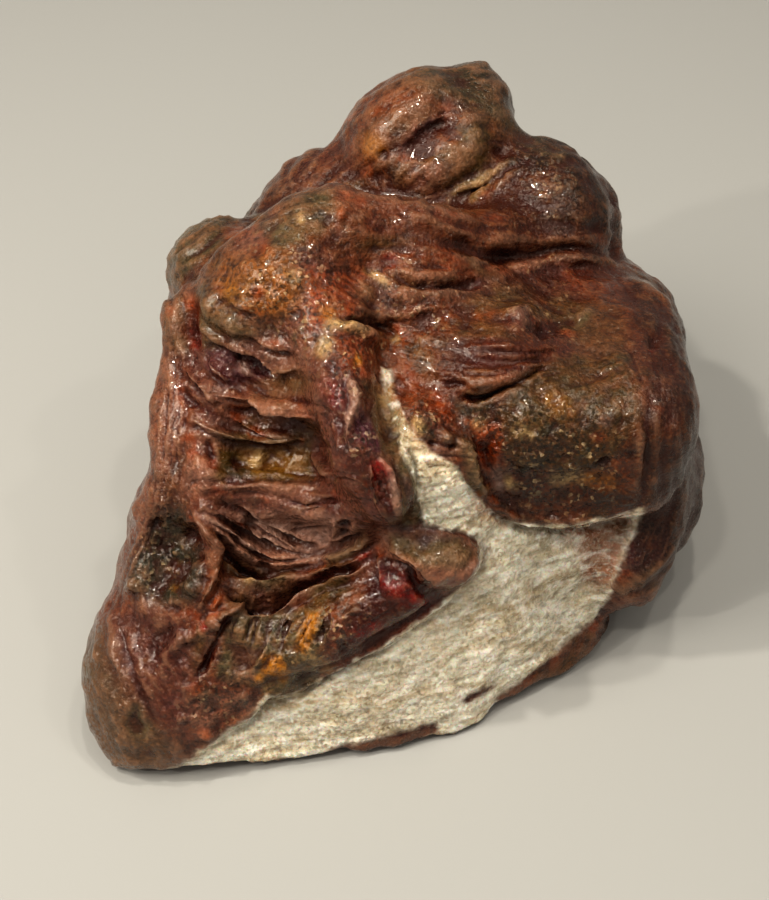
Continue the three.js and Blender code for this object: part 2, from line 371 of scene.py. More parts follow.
def rows(table):
    """Each row's pigment, if it names one, its amount, and its shape on the vertices."""
    for row in table.replace("\n    ", " ").strip().splitlines():
        head, places = row.split(":")
        *words, size = head.split()
        kind = words.pop() if words[-1] in ("ledge", "area", "spot") else "soft"
        amount = float(words.pop())
        points = points_of(places)
        if kind == "spot":
            shape = spot(*points[0], *(float(number) for number in size.split(",")))
        elif kind == "area":
            shape = inside(points, float(size))
        else:
            shape = stroke(points, float(size), sharp=kind == "ledge")
        yield "".join(words), amount, shape


def push(places, height):
    """Moves the skin along its normals, by heights in millimetres, and not into the table."""
    places = places + vertex_normals() * height[:, None] * MM
    places[:, 2] = np.maximum(places[:, 2], 0)
    stone.data.vertices.foreach_set("co", places.ravel())
    stone.data.update()
    return places


UNEVENNESS = 0.6


def carve(title, table, more=()):
    """Adds up the heights of a table's shapes, and of any more, and moves the skin."""
    strokes = [*more, *((amount, shape) for _, amount, shape in rows(table))]
    height = sum(shape * amount for amount, shape in strokes)
    places = vertex_places()
    height *= facing_share() * (1 + UNEVENNESS * noise_at(places, 4, 57, 3))
    push(places, height)
    print(title, len(strokes), "strokes, up to", round(float(np.abs(height).max()), 2), "mm")


# %% [markdown]
# The shoulder and the folds behind it run from left to right like a rucked blanket. Long soft
# strokes follow them, and one deep crease parts them from the block on the right.

# %% Folds over the top
carve("folds over the top:", """
0.5 0.6: -3,32 3,30.6 9,29 15,28
0.5 0.5: -2,30.4 4,28.8 10,27.3 16,26.6 24,26.5
0.4 0.4: 2,28.6 8,26.8 14,26 20,25.9
-1.2 0.5: 7,25.3 12,24.7 16,24.4 20,24.9 24,25.1 29,24
0.15 1.3: 3,23.4 6,24.1 10,23.4 15,22.4
-0.4 0.25: 4,22.7 6,23 8.5,22.6
-1.6 0.45: 1,22.4 2,21.4 4,20.6 7,20.4 10,20.8 13,21.5
-0.3 spot 1.4: 0.7,23.4
0.6 0.8: 12,21.7 16,23 20,23.8 25,24.2 30,22.8 34,20
-0.4 area 1.2: 1.6,37.4 2.6,39.6 5,41.4 9.6,42 11,40 9.4,36.4 5,35.6 2.6,36
-0.5 0.4: 3.4,37.6 4.7,39 6.5,40.2 8.4,41
0.7 ledge 0.35: 1.6,36.4 2.5,38.6 4.2,40.6 6.4,41.6 9,42
0.25 0.4: 3.4,35.6 5.4,36 7.4,37.4
0.5 spot 3.6: 5.5,33.4
-0.4 spot 1.3: -0.2,37.2
-0.3 spot 1.2: -1,34.4
-0.5 spot 1.4,0.8: 14,37
0.7 0.5: 7.5,30.3 9.5,32.5 11.5,33.6 14,34.8 16.6,36.5
0.7 0.4: 10,30.3 12.5,32.2 14.5,34
0.6 0.4: 12.4,31 15,33.3 17.4,35.8
-0.3 spot 1.3: 9.4,31.3
-0.4 spot 1.3,0.6,30: 16.3,35.2
0.5 spot 1.6,0.6: 20.5,31.8
-0.6 spot 1.6,0.4,-40: 26,28.2
0.5 0.7: -26,21 -22,24.4 -17,27.4 -14,29.8 -10,32
-0.5 spot 1.3,0.6,60: -7.2,28.8
0.4 spot 1: -5.6,29.6
""")

# %% [markdown]
# The scooped hollow on the left is crossed by thin shell-like ledges, each with a lit crest
# and a dark trough beneath. Ledges make the crests, and soft strokes the troughs.

# %% Shoulder and upper hollow
carve("upper hollow:", """
0.9 1: -21.8,22.5 -22,19.5 -21,17 -18.8,15 -15.5,14.9
-1 0.9: -24.8,19 -24.4,15.5 -23.9,12.4
0.8 ledge 0.25: -22.9,16.4 -21.6,14.8 -20,13
0.5 0.4: -26.3,19 -25.9,15 -25.3,12
0.5 ledge 0.3: -19.6,18.6 -17.6,17.8 -16.3,16.9
1.2 ledge 0.35: -20.4,13.4 -18,12.8 -15.5,11.9 -13,10.5 -10.5,10
-0.9 0.8: -20,11.6 -16.5,10.9 -13.5,9.6
0.7 ledge 0.3: -16.5,14.2 -13.5,13.2 -11.2,12
-0.6 0.4: -15,13.1 -12.6,12.2 -11,11.2
1 ledge 0.4: -21.6,12 -20.6,9.8 -19,7.6
-0.6 0.5: -19.5,9 -17,8.6 -14.4,6.8 -12,6.2
0.9 ledge 0.4: -25.2,10.6 -23.6,8.6 -22.2,7 -21,5.2
-0.6 0.4: -25.4,8 -24,5.8 -22.4,4.4
1.1 ledge 0.35: -21.4,6.9 -19,6.7 -16.5,6 -14,4.9 -11,4.3 -8,4
-1 0.5: -20.4,5 -16,4 -12,3.2 -8.8,3
0.7 ledge 0.3: -19.3,4.2 -17.5,3.2 -15.5,2.4 -13,1.9 -11,2
1.5 ledge 0.35: -24.6,4 -22,2.6 -20,1.9 -17,1.4 -14,1.1 -11,1.2 -9.3,0.6
-1.3 1.2: -21,0 -17,-0.8 -13,-0.8 -9.6,-1.2
-0.6 0.4: -22.4,1.4 -22,0 -21.3,-1.6
0.8 0.5: -9.4,0.6 -9,-0.6 -7.5,-2.2 -6,-4
0.8 1.2: -24.6,-1 -22.5,-3 -20.4,-4.4
0.9 0.5: -21,-4.4 -18,-4.9 -15,-4.7 -12,-5 -8.6,-4.8
0.5 spot 1.2: -15.5,-0.8
""")

# %% Lower hollow
carve("lower hollow:", """
0.9 ledge 0.3: -18.2,-7 -15.5,-8 -13,-9.2 -10.5,-10.8 -8,-12
0.8 ledge 0.25: -16.3,-8.8 -14.5,-10 -12.2,-11.6 -10,-12.7
1.2 ledge 0.3: -23.5,-7 -21,-7.8 -18,-8.9 -15.5,-10.6 -12.5,-12.2 -9,-13
1.3 ledge 0.3: -23.3,-7.7 -20.5,-9.4 -18.5,-10.6 -16.5,-12.2 -14,-13.4 -9,-13.5
1.4 ledge 0.35: -22.8,-8.4 -20.8,-10.5 -18.5,-12.4 -16,-14 -13.5,-14.6 -7.5,-14
-1.9 0.4: -21.4,-11.2 -19.6,-13.2 -17.6,-14.8 -15.4,-15.9 -13,-15.7
0.9 ledge 0.2: -20.4,-12.6 -18.9,-14.2 -17.4,-15.2
1.6 0.5: -20,-16 -18,-16.8 -16.4,-17.3 -14.2,-17 -12.5,-16.2 -10,-15.8
-2.6 0.6: -19.8,-17.3 -18.3,-18.7 -16.3,-19.5 -14,-19 -12,-18.1 -9.5,-17.2 -6.5,-15.9
1.4 0.6: -8,-13.5 -5.5,-13 -3.5,-12 -1.2,-10.6
-0.8 0.4: -7,-12 -4.5,-11.4 -2.4,-10.2
-1.1 spot 1.3: -5.2,-10
0.7 ledge 0.3: -6.3,-9.2 -6.1,-10.8 -5,-11.7
0.9 ledge 0.4: -12,-17.4 -9,-16.3 -6,-14.9 -3,-13.5 -0.6,-12.4
1.1 ledge 0.4: -14,-20.3 -11,-19 -8,-17.5 -5,-16.3 -2,-14.4
-0.8 0.4: -9,-16.9 -6,-15.6 -3,-14.3
1.6 ledge 0.35: -24,-7.2 -22.8,-9.5 -22,-12 -21.7,-15 -22.1,-17.6 -23.6,-20
-1.8 0.7: -24.6,-9 -24.2,-11 -23.2,-12.8 -22.5,-14.2
-0.7 0.3: -12.4,-6.2 -10,-7 -8,-6.6 -5.6,-5.8
-0.6 0.3: -10.4,-8 -8.6,-7.4 -6.6,-7
0.6 spot 0.9: -27.5,-6.6
0.8 spot 1.3: -31,-17
0.6 spot 0.8: -26.2,-12.4
-0.8 spot 1.3: -28.6,-16.8
0.6 spot 0.9: -25.6,-16.8
0.6 spot 1.6: -24.4,-17.4
-0.7 spot 1.2: -28.4,-9.4
-0.8 spot 1.6,0.5: -26.6,-19.8
0.9 spot 1.2,0.6,60: -20.8,-19.2
0.6 spot 0.9: -21.4,-21.3
""")

# %% [markdown]
# The lip below the hollow is a band of small columns, split by short upright cracks. Below it
# the skin ends in a thin lifted edge, and the quartz starts one step lower.

# %% Lip, rim and foot
QUARTZ_RIM = points_of(
    "-27,-40 -24,-38.5 -20,-35.5 -17,-33.5 -15,-31 -10,-30 -5,-27 0,-24.5 4,-21.5 8,-18.5 11,-16"
    " 12,-13.5"
)
CRACKS = [-18.9, -17.9, -16.1, -15.5, -13.9, -12.5, -11.9, -10.1, -9.3, -7.2]
lip = []
for x in CRACKS:
    line = [(x, -20 - x % 1.3), (x - 0.4, -21.8), (x - 1.1, -22.6 - 1.4 * (x % 1.7))]
    lip.append((-0.2 - x % 0.7, stroke(line, 0.2)))
lip.append((0.7, stroke(moved(QUARTZ_RIM, 0.2, 0.9), 0.5)))
lip.append((-0.6, stroke(moved(QUARTZ_RIM, 0.5, -0.5), 0.4)))
carve("lip and foot:", """
1 ledge 0.25: -14.2,-24 -15.3,-26 -16.5,-27.7
-0.7 1: -20.4,-23 -18,-25.5 -17.4,-28.5
-1 0.35: -23.9,-29.4 -22.3,-26.6 -21.2,-24.3 -19.8,-22 -18.4,-20.6
0.9 ledge 0.3: -23,-23.4 -20.9,-21.7 -19.4,-20.4 -17.6,-19.9 -14.6,-19.9
0.5 spot 1.6,0.6,80: -9.4,-22.4
0.4 spot 1.6: -13.4,-27.2
0.3 spot 1.2: -15.6,-28.8
-0.9 spot 1.2: -5,-24.6
0.7 spot 1.5,0.6: -22.4,-35.3
0.5 spot 1.6: -17.4,-31
-0.5 spot 0.9: -23.6,-31.4
1.2 0.6: -27.9,-28.2 -27,-25.5 -25.5,-23.6 -23.2,-22.9
-0.6 0.5: -29.4,-27 -28.4,-23.6 -26,-21.8
-0.6 0.35: -33,-21 -32.3,-25 -31.5,-28 -30.5,-31 -28.5,-34
0.4 0.35: -34.4,-19 -34,-24 -33,-28 -32.6,-30
-0.5 0.6: -31,-31.4 -31.4,-33.5 -29.6,-36
0.4 0.4: -36.2,-23.6 -36,-26.6
0.5 spot 1.3,0.6: -25.6,-33.6
""", lip)

# %% Flow lines down the left side
LEFT_EDGE = points_of("-28.6,17 -28.2,10 -28.4,4 -29,-2 -30.5,-9 -33,-15 -35,-21")
flow = []
for step in range(8):
    inward = 0.25 + 0.42 * step
    line = [(right + inward + 0.1 * math.sin(step + up), up) for right, up in LEFT_EDGE]
    flow.append((0.18 if step % 2 else -0.16, stroke(line, 0.2)))
carve("flow lines:", "", flow)

# %% [markdown]
# The spine is a crumpled blade with a flat purple facet on its right flank. The tongue at its
# foot is a smooth leaf with a raised rim, and a lump of clear red lies below it.

# %% Spine and tongue
carve("spine and tongue:", """
0.9 ledge 0.4: -5.8,10 -4.6,8 -3.8,5.6 -4.7,3.6 -4.4,1 -3.2,-2
-0.6 0.8: -3.4,4.6 -2.4,2.6 -1.4,0.8
0.4 ledge 0.3: -1.5,-0.6 -1.9,-3.6 -1.1,-6.6 0,-9
-0.2 0.4: -0.9,-1.4 -0.6,-3 0,-5 0.8,-7.4
0.8 ledge 0.25: -0.9,-0.3 0.4,-3 1.1,-6 1.8,-8.8
0.6 0.5: 0.8,1.5 1.9,-2 2.8,-5.5 3.9,-9
-0.5 0.4: 2.6,1.4 4,-2.4 4.8,-6
1 0.6: -6.6,15.6 -4.5,15.2 -2,14.3 0.4,12.6
-0.8 0.3: -5,16.4 -2,15.8 1.2,15
0.6 0.35: -5,18 -2,17 2,16.8 6,17.5 10,18.4
0.9 spot 2.4,0.8: -2.6,19.9
0.25 0.4: -8.4,12 -7.4,8 -6.4,3 -5,-2
0.45 0.35: 0,-10.2 3,-10.3 7,-10.4 10,-11.2 11.6,-13 10.8,-15.2 8.4,-17
-0.6 1.5: 1,-11.8 5,-12.4 9.4,-13
0.8 ledge 0.3: 0.5,-12.6 3,-13.8 5.6,-15.8 8,-16.9
-0.8 0.3: 0,-13.6 2.4,-14.9 4.4,-17 6,-18
0.9 spot 2.4: 1.6,-17.2
0.6 spot 1.5: 4.2,-18.4
0.8 ledge 0.3: -0.6,-13 0.1,-15 -0.3,-17.4
0.5 0.4: -6.4,-21.4 -3.4,-20 -0.6,-20.8
""")

# %% [markdown]
# The block on the right is a cube-like lobe. Its upper skin overhangs a dark slot, its front
# is a shallow, grainy bowl, and its lower edge is a clean ledge over the quartz.

# %% Block on the right
BLOCK_LEDGE = points_of("12.4,-5 14,-7.2 17,-8.3 21,-8.6 26,-8.5 31,-7.2")
block = [
    (1.2, stroke(BLOCK_LEDGE, 0.6)),
    (-0.9, stroke(moved(BLOCK_LEDGE, 0, -1.4), 0.4)),
]
for step in range(5):
    x = 35.8 + 0.6 * step
    line = [(x, 7), (x + 0.5, 0), (x + 0.2, -6), (x - 0.8, -11)]
    block.append((0.15 if step % 2 else -0.15, stroke(line, 0.2)))
carve("block:", """
0.7 spot 2.8,0.8: 16.5,16.6
-0.9 spot 3,0.6: 20,15
0.4 0.4: 5,14 10,13.1 16,13 22,12.6
-0.35 0.4: 8,11.9 13,11.4 18,11 23,11.5
0.3 0.35: 9,10.2 13,10 17,10.2
-0.5 0.35: 7.5,7.9 9,8.3 10.6,8.1
-1.7 0.4: 9.4,6.6 11.5,6.3 13.5,6.9 15.5,8 17.8,8.5
-1.2 0.3: 15.5,8.2 18,9.2 20.4,10.3
0.5 0.6: 9,9.1 12,8.2 15,9.1 19,10.7
-0.5 1.6: 15,-3 20,-4.4 25,-4.6 30,-4
0.5 spot 3: 17.6,4.6
-0.6 spot 1.8,0.6,30: 27.5,-1.6
-0.4 spot 1.3,0.6,-20: 30.6,-0.6
1.3 0.7: 9.5,2 10.2,0 11,-3 12.8,-5.8
-0.7 0.4: 12.4,1 13,-1.6 14,-3.4
0.6 spot 1.3: 5,3.5
0.7 spot 1.6: 7.8,1.4
-0.5 spot 1,0.5,40: 8.6,0
-0.4 spot 0.9,0.6,-40: 6,0.6
-0.7 0.35: 3,5 5.5,5.4 7.4,4.8
-0.5 0.5: 32.8,8 33,2 32.8,-3 32.3,-8
0.25 0.6: 31.7,8 31.7,0 31.4,-6
-0.4 0.5: 34.6,6 35,0 34.8,-6 34.5,-9
-1 spot 1.6,0.7: 34,13.6
0.5 spot 1.8,0.5,50: 24.4,16.6
0.4 0.3: 29,-17.4 32,-16.4 34.6,-14 36.6,-10
-0.4 0.3: 29.4,-15.6 32,-14.6 34,-12.4
-0.4 0.3: 28.4,-18.8 32.4,-17.8 35.6,-15 37.6,-11
""", block)

# %% [markdown]
# ## Grain
#
# Between the folds the skin is granular, and the break is sugary quartz. Both are real
# relief, so they are made by moving vertices too: a noise that differs from place to place,
# scaled by how coarse each part of the stone is.

# %% Outline of the break
QUARTZ = QUARTZ_RIM + points_of("""
11.5,-11 9,-10 5,-9.5 4.5,-7 3.2,-3 2.2,0 1,4 -0.1,8 -0.4,10.4 0.7,10 1.8,6 3,3 5.6,0 9,-2
11,-5 13.5,-8.1 17,-9.2 22,-9.3 25,-9.1 29,-8.3 32.5,-7.3 31,-11 30,-13 28.5,-17 26.5,-20.8
24,-23 19,-27.5 14,-31 20,-40 0,-44 -27,-44
""")

# %% [markdown]
# Fine lines run along every fold, as on drawn sugar. A few guide lines carry their direction:
# each vertex gets a place across and a place along them, blended from the guides near by.

# %% Flow
GUIDES = """
-28.6,20 -28,10 -28.4,0 -31,-9 -35,-18 -36,-28 -31,-38
-25,19 -24,12 -25.5,2 -26,-8 -31,-18 -32,-27 -27,-34
-26,22 -17,28 -8,31.5 2,30 14,27 28,26
-22,12 -14,9.6 -8,8
-24,6.6 -16,5 -8,3.6
-24,1.6 -16,0.8 -9,0.4
-24,-5 -14,-5 -4,-6
-23,-8 -18,-12 -13,-14.6 -4,-12
-22,-16 -16,-19 -8,-17 0,-12
-22,-22 -14,-24 -4,-20 4,-17 10,-13
-24,-34 -14,-29 -2,-24 8,-17
-5,12 -4,4 -1,-4 1,-9
1,22 8,21.6 18,24 28,23 34,18 36,8 36,-6 33,-14
4,18 12,15 22,14 30,15 33,8 33,-4
2,12 10,10 18,10.6 28,12
14,-7 22,-8 31,-6.6
-10,34 -3,41 5,45 13,46
3,33 9,39 15,38 24,35 28,29
"""
places = vertex_places()
seen = as_seen(places)
GUIDE_REACH = 0.8
total, across, along = (np.zeros(len(places)) for _ in range(3))
for row in GUIDES.strip().splitlines():
    guide = points_of(row)
    near, share, side = beside(guide)
    weight = 1 / (near + GUIDE_REACH) ** 3
    total += weight
    across += weight * near * side
    along += weight * share * sum(math.dist(a, b) for a, b in zip(guide, guide[1:]))
across /= total
along /= total
print("across", round(float(across.min())), "to", round(float(across.max())), "mm")

# %% Quartz share of each vertex
places = vertex_places()
seen = as_seen(places)
seen[:, :2] += np.stack([noise_at(places, 1.6, s, 2) * 0.35 for s in (1, 2)], axis=1)
QUARTZ_EDGE = 0.3
quartz = inside(QUARTZ, QUARTZ_EDGE) * (facing_share() > 0.02)
chips = np.maximum(
    stroke(points_of("-7,-38.2 -4,-37.6 -1.4,-37 2,-36.2 7,-34.6"), 0.65, fade=0.1),
    stroke(points_of("9,-31.6 11,-31 14,-29.4"), 0.3),
)
quartz *= 1 - eased(1.6 * chips)
print("quartz on", int((quartz > 0.5).sum()), "of", len(quartz), "vertices")

# %% Grain of skin and quartz
rough_skin = np.full(len(places), 0.35)
for right, up, radius, amount in [
    (-12, 20, 10, 1), (-4, 13, 7, 1), (5, 18, 9, 0.6), (20, 19, 9, 0.6), (22, -1, 12, 1.2),
    (12, 3, 6, 1), (-20, -31, 7, 0.9), (-6, -22, 7, 0.9), (20, 33, 8, 0.5), (5, 4, 5, 1.2),
    (-5, 8, 4, 1), (-3, 1, 3.5, 1), (-0.6, -5, 3, 1), (-28, -14, 6, 0.8), (-12, -25, 6, 0.8),
]:
    rough_skin += spot(right, up, radius) * amount
along_folds = np.stack((across / 0.9, along / 7, np.zeros(len(places))), axis=1)
grain = 0.16 * noise_at(places, 1.3, 11, 3) * rough_skin
grain += 0.25 * noise_at(places, 4.5, 12, 2)
grain += 0.6 * (0.25 - np.abs(noise_at(places, 6, 15, 3))) * np.clip(0.3 + rough_skin, 0, 1)
grain += 0.3 * noise_at(along_folds * MM, 1, 16, 2) * np.clip(1.3 - rough_skin, 0, 1)
sugar = 0.22 * noise_at(places * [0.5, 1, 1.6], 1.6, 13, 3)
sugar += 0.2 * noise_at(places * [0.5, 1, 1.5], 6, 14, 2)
height = grain * (1 - quartz) + sugar * quartz
RESTING_FACE = 0.3 * MM
height[places[:, 2] < RESTING_FACE] = 0
places = push(places, height)
print("grain up to", round(float(np.abs(height).max()), 2), "mm")

# %% [markdown]
# ## Painting
#
# Iron stains follow the folds, so they are painted fold by fold, with the same strokes and
# spots, into a colour attribute. The places are shaken by a little noise first, which frays
# every edge. In these tables a row starts with the pigment's name.

# %% Pigments


def pigment(code):
    """A linear colour from an sRGB hex code."""
    parts = [int(code[i : i + 2], 16) / 255 for i in (0, 2, 4)]
    return np.array([c / 12.92 if c <= 0.04045 else ((c + 0.055) / 1.055) ** 2.4 for c in parts])


# The lilac pigment is used only for painted highlights, painted reflections and painted light in
# the hollows.
words = """
mauve 58342a  rose 8c6250  rust 66300f  orange 94400f  ochre a46c18  olive 4e3f1c  sage 5a5238
moss 262c20  wine 3c0d08  red 900d04  purple 4c2832  cream c2a474  dark 1c120b  milk ece5d3
lilac a88a7e
""".split()
PIGMENTS = {name: pigment(code) for name, code in zip(words[::2], words[1::2])}
print(len(PIGMENTS), "pigments")

# %% Ground colours
seen = drawn
patchy = noise_at(places, 14, 21, 3)
streaky = noise_at(places * [1, 1, 0.6], 5, 22, 3)
tint = np.tile(PIGMENTS["mauve"], (len(places), 1))


def paint(pigment_name, share):
    """Lays a pigment over what is there, as thickly as share says."""
    global tint
    share = np.clip(share, 0, 1)[:, None]
    tint = tint * (1 - share) + PIGMENTS[pigment_name] * share


def paint_rows(table, strength=1):
    """Paints a table's shapes, row by row."""
    for pigment_name, amount, shape in rows(table):
        paint(pigment_name, shape * amount * strength)


paint("rust", eased(0.5 + 1.6 * patchy) * 0.8)
paint("olive", eased(0.1 + 1.8 * streaky) * 0.6)
paint("rose", eased(-0.2 + 1.5 * noise_at(places, 7, 23, 2)) * 0.5)
paint("orange", eased(-0.7 + 2.4 * noise_at(places, 3, 24, 3)) * 0.5)
paint("dark", eased(-0.4 + 2.2 * noise_at(places, 2.4, 25, 3)) * 0.6)
ground = tint
print("ground of", np.round(tint.mean(axis=0), 2))

# %% [markdown]
# From here on every row is one patch of the stone, from the top lobe down to the foot.

# %% Painting the top lobes
paint_rows("""
sage 0.85 area 1.2: -1,44.6 4,48 8,49.5 14,49 15,44 17,40.5 24,40 22,35 18,37 14,41 9,44 4,44.6
moss 0.5 1.4: 5,47 9,47.6 13,46 13.6,42
olive 0.7 area 1: 6,41 14,41 13,35.5 8,36 4,35.6
rust 0.8 2.2: -4,42 1,44 7,45
ochre 0.8 spot 2.6: -1.6,38
wine 0.95 area 0.6: 2.4,37 3.2,39.2 5.4,40.9 8.4,41.4 9.6,39.6 6,37.2 3.2,36.2
rust 0.9 0.8: 5.4,37.8 7,38.8 9.4,39.8
purple 0.8 0.3: 1.6,36.4 2.5,38.6 4.2,40.6 6.4,41.6 9,42
wine 0.8 spot 1.2: -0.2,36.8
purple 0.5 spot 2.8,0.7,60: 6.2,34.6
dark 0.5 1: -6,33.6 0,33 5,31.6 8,31
olive 0.8 2: 7,31 10,34 14,36
cream 0.6 0.35: 7.5,30.4 9.5,32.6 11.5,33.7 14,34.9 16.4,36.4
cream 0.4 0.4: 10.4,30.6 12.5,32.3 15,34.6
dark 0.6 spot 1.4: 9.4,31.2
rust 0.7 spot 1.4: 14,37
wine 0.5 spot 1.4,0.5,20: 16.3,35.3
rust 0.9 area 1: 10,30 16,30.5 28,28 29,25 10,25
olive 0.5 spot 4,0.5: 21,29
orange 0.8 spot 2.2,0.5: 14,29
orange 0.6 spot 1.8,0.5,-40: 27,26.6
wine 0.7 spot 1.6,0.4,-40: 26,28.2
rose 0.2 area 1: 15,35 22,36 24,32 16,31
mauve 0.7 area 1: -18,29 -12,36 -4,40 -3,34 -10,32
wine 0.7 1.2: -15,32.4 -11,35 -7,36.6
sage 0.95 area 0.8: -29,20 -26,29 -19,31 -15,29 -22,24.6 -26,20.6
orange 0.8 1: -21,26.6 -18.6,27.4 -16.4,27.8
wine 0.7 0.7: -18,29 -16,28.4
""")

# %% Painting the shoulder and middle fold
# The dark strokes along the crease under the middle fold and the deep crease before the block
# are painted shade.
paint_rows("""
rust 0.7 area 1: -6,31 3,30 10,27.4 20,25.6 8,25.4 -4,24
wine 0.6 0.8: -1.8,30 -0.4,27.6 0,25.6
olive 0.6 0.9: -5,25.4 0,25.6 4,26.4
sage 0.75 area 1: -15,28 -10,32 -7,32.6 -6,30 -9,26 -14,25
moss 0.8 0.8: -8.6,30 -7.2,28.6
cream 0.8 0.5: -10.8,29 -9.8,29
orange 0.9 spot 1.1: -5.6,29.6
rust 0.7 spot 1.6: -9.4,26.4
ochre 0.4 area 1.4: -22,23.6 -12,25 -9,20 -13,16.4 -20,18
sage 0.8 1.2: -22,23 -22.6,20 -21.6,17 -18.6,15.2 -14,15
ochre 0.9 spot 1.6: -19.4,20.4
orange 0.8 spot 1.4: -16,19.6
cream 0.7 0.7: -12.4,22.4 -11,21.6 -10.4,20.8
moss 0.8 spot 0.9: -11.4,21
orange 0.9 0.7: -25,19.6 -24.2,17.4 -23.6,15.8
red 0.45 0.7: -24.6,16 -24.2,14.4 -23.4,12
orange 0.55 area 1.2: -10,23 -3,22.6 -4,17 -9,15
ochre 0.7 spot 1.8: -7,17.2
rose 0.6 spot 2.4: -2.6,20
sage 0.5 spot 2: -2,20
cream 0.7 0.4: -3,22.6 -1,21.8 1,20.2
red 0.5 spot 1.4: 0.6,23.6
dark 0.8 0.55: 1,22.4 2,21.4 4,20.6 7,20.4 10,20.8
rust 0.6 1: 3,23.4 6,23.8 9,23.2
dark 0.6 0.6: 9,24.8 14,24.4 20,24.9 27,24.6
""")

# %% Painting the spine and the orange rim
# The lilac strokes along the spine's ledges are painted highlights.
paint_rows("""
orange 0.5 area 0.8: -6,15 0,14 5,10 4,5 1,6 -2,9 -6,9
rust 0.5 area 0.8: -2,13 5,11 7,6 4,4 1,7
cream 0.8 0.6: -7.4,14.4 -6.6,15.8 -4.6,15.4 -2,14.4
cream 0.7 0.7: -8.6,11 -7.4,13 -6.6,14.4
ochre 0.9 0.7: -4.2,11.6 -2.6,11.2
cream 0.8 0.8: -0.8,9.4 -0.4,7 1,3.4 3,1
olive 0.7 1: 2.4,14 4.6,12 6,9.4
dark 0.7 0.7: 4.4,11.4 5.4,9.6
cream 0.6 spot 1: 1.4,14
wine 0.5 area 0.8: -9.6,11.4 -6,12 -3,6.4 0,0 2,-9 -1,-10 -4,-4 -7.4,2 -9,6
red 0.3 0.9: -8.4,9.6 -6,6 -4,5.6
mauve 0.7 1.1: -8.4,3.4 -6.6,-1 -4.4,-5 -3,-9
lilac 0.6 0.35: -5.8,10 -4.6,8 -3.8,5.6 -4.7,3.6 -4.4,1
purple 0.9 area 0.4: -4,5 -2.6,5 -0.2,1.4 -0.6,-0.2 -3.4,1
lilac 0.7 0.25: -0.9,-0.3 0.4,-3 1.1,-6 1.8,-8.8
red 0.9 0.7: -1.1,-0.8 -0.7,-2.4 -0.4,-4
wine 0.9 0.6: -0.2,-4.4 0.4,-6.6 1.4,-8.8
sage 0.95 area 0.4: 0.2,2 1.8,2.2 3.6,-3 5,-9 2.6,-9.6 1.6,-4
purple 0.6 0.4: 1.6,-2 2.6,-5.6 3.6,-9
rose 0.8 area 0.5: -0.6,-10.2 9.6,-10.6 12,-13 11.4,-15.4 7,-17.6 3,-15 -0.4,-12.6
purple 0.55 0.7: 0,-10.4 3,-10.4 7,-10.5 10,-11.3 11.6,-13 10.8,-15.2 8.4,-17 5.6,-16
sage 0.75 area 0.8: 0.6,-10.8 9.6,-11 11.4,-13 10,-15 5,-14.6 1,-12.6
wine 0.95 area 0.8: -0.6,-13.4 3,-15 7.4,-18.4 4,-22 -3,-26.4 -6.6,-24.6 -3,-19
red 0.45 area 0.9: 0,-15 2.6,-15.6 6.4,-18.2 5.6,-19.4 1.6,-19 -0.4,-17
red 0.6 0.6: -4.4,-23.6 -2,-22.6 0.4,-21.4
orange 0.8 0.7: -4,-25.8 0,-23.9 4,-21.2 6.8,-19.4
""")

# %% Painting the upper hollow
# The rose wash over the hollow is painted light, and the lilac spot is a painted reflection on a
# glossy facet. The rose lines on the ledge crests are partly painted highlight.
paint_rows("""
rose 0.4 area 1: -22,12 -12,13 -8,8 -9,3 -16,4 -23,3
purple 0.85 area 0.6: -22,12.6 -18,13 -13.4,10.4 -14.4,9 -19,8 -22,10
wine 0.5 1: -21.6,11 -19,8 -15,7
lilac 0.7 spot 1.7,0.5,-35: -17.6,10.2
rose 0.6 1: -16.6,14.4 -13,12.6 -10,10.6
wine 0.7 0.5: -15.2,13.4 -12.6,12.6 -11,12
olive 0.6 1.2: -14,9.4 -11,8.4 -9.6,7
wine 0.9 0.5: -12.6,6.2 -10.6,6 -9,5.2
rose 0.9 0.3: -21.4,6.9 -19,6.7 -16.5,6 -14,4.9 -11,4.3 -8,4
rust 0.8 0.7: -20.8,5.6 -17,4.7 -13,3.4 -9.6,3
wine 0.8 0.6: -23.6,5.4 -21.6,4.4 -20.2,3.6
orange 0.6 spot 1.2: -18.6,4.4
sage 0.8 0.8: -22.6,2.6 -20,1.6 -16,0.9 -12,1 -9.6,0.6
olive 0.95 area 0.7: -21,0.4 -9.4,0 -8.6,-3.6 -14,-4.2 -20.6,-3
ochre 0.35 area 0.8: -18,0 -10,-0.4 -9.4,-3.4 -16,-3.6
dark 0.55 1: -20,-0.8 -18,-2.4 -16,-2.8
wine 0.7 spot 1: -18.4,-2
cream 0.75 0.8: -16.6,-0.4 -15,-1.6
wine 0.95 0.55: -22.4,1.4 -22,0 -21.4,-1.4
cream 0.6 0.4: -21.4,-3 -20.2,-3.6 -20,-4.4
rust 0.6 0.9: -25.4,5.4 -24,4.4 -24,2.4
rose 0.6 area 0.7: -25,-0.6 -22,-1.6 -20,-4 -23,-6.4 -26,-5
rose 0.7 0.8: -19.6,-5.2 -15,-5.4 -10,-5.2 -7,-5.6
wine 0.7 0.5: -12.2,-6.4 -9.6,-7 -7,-6.2 -5.4,-5.8
""")
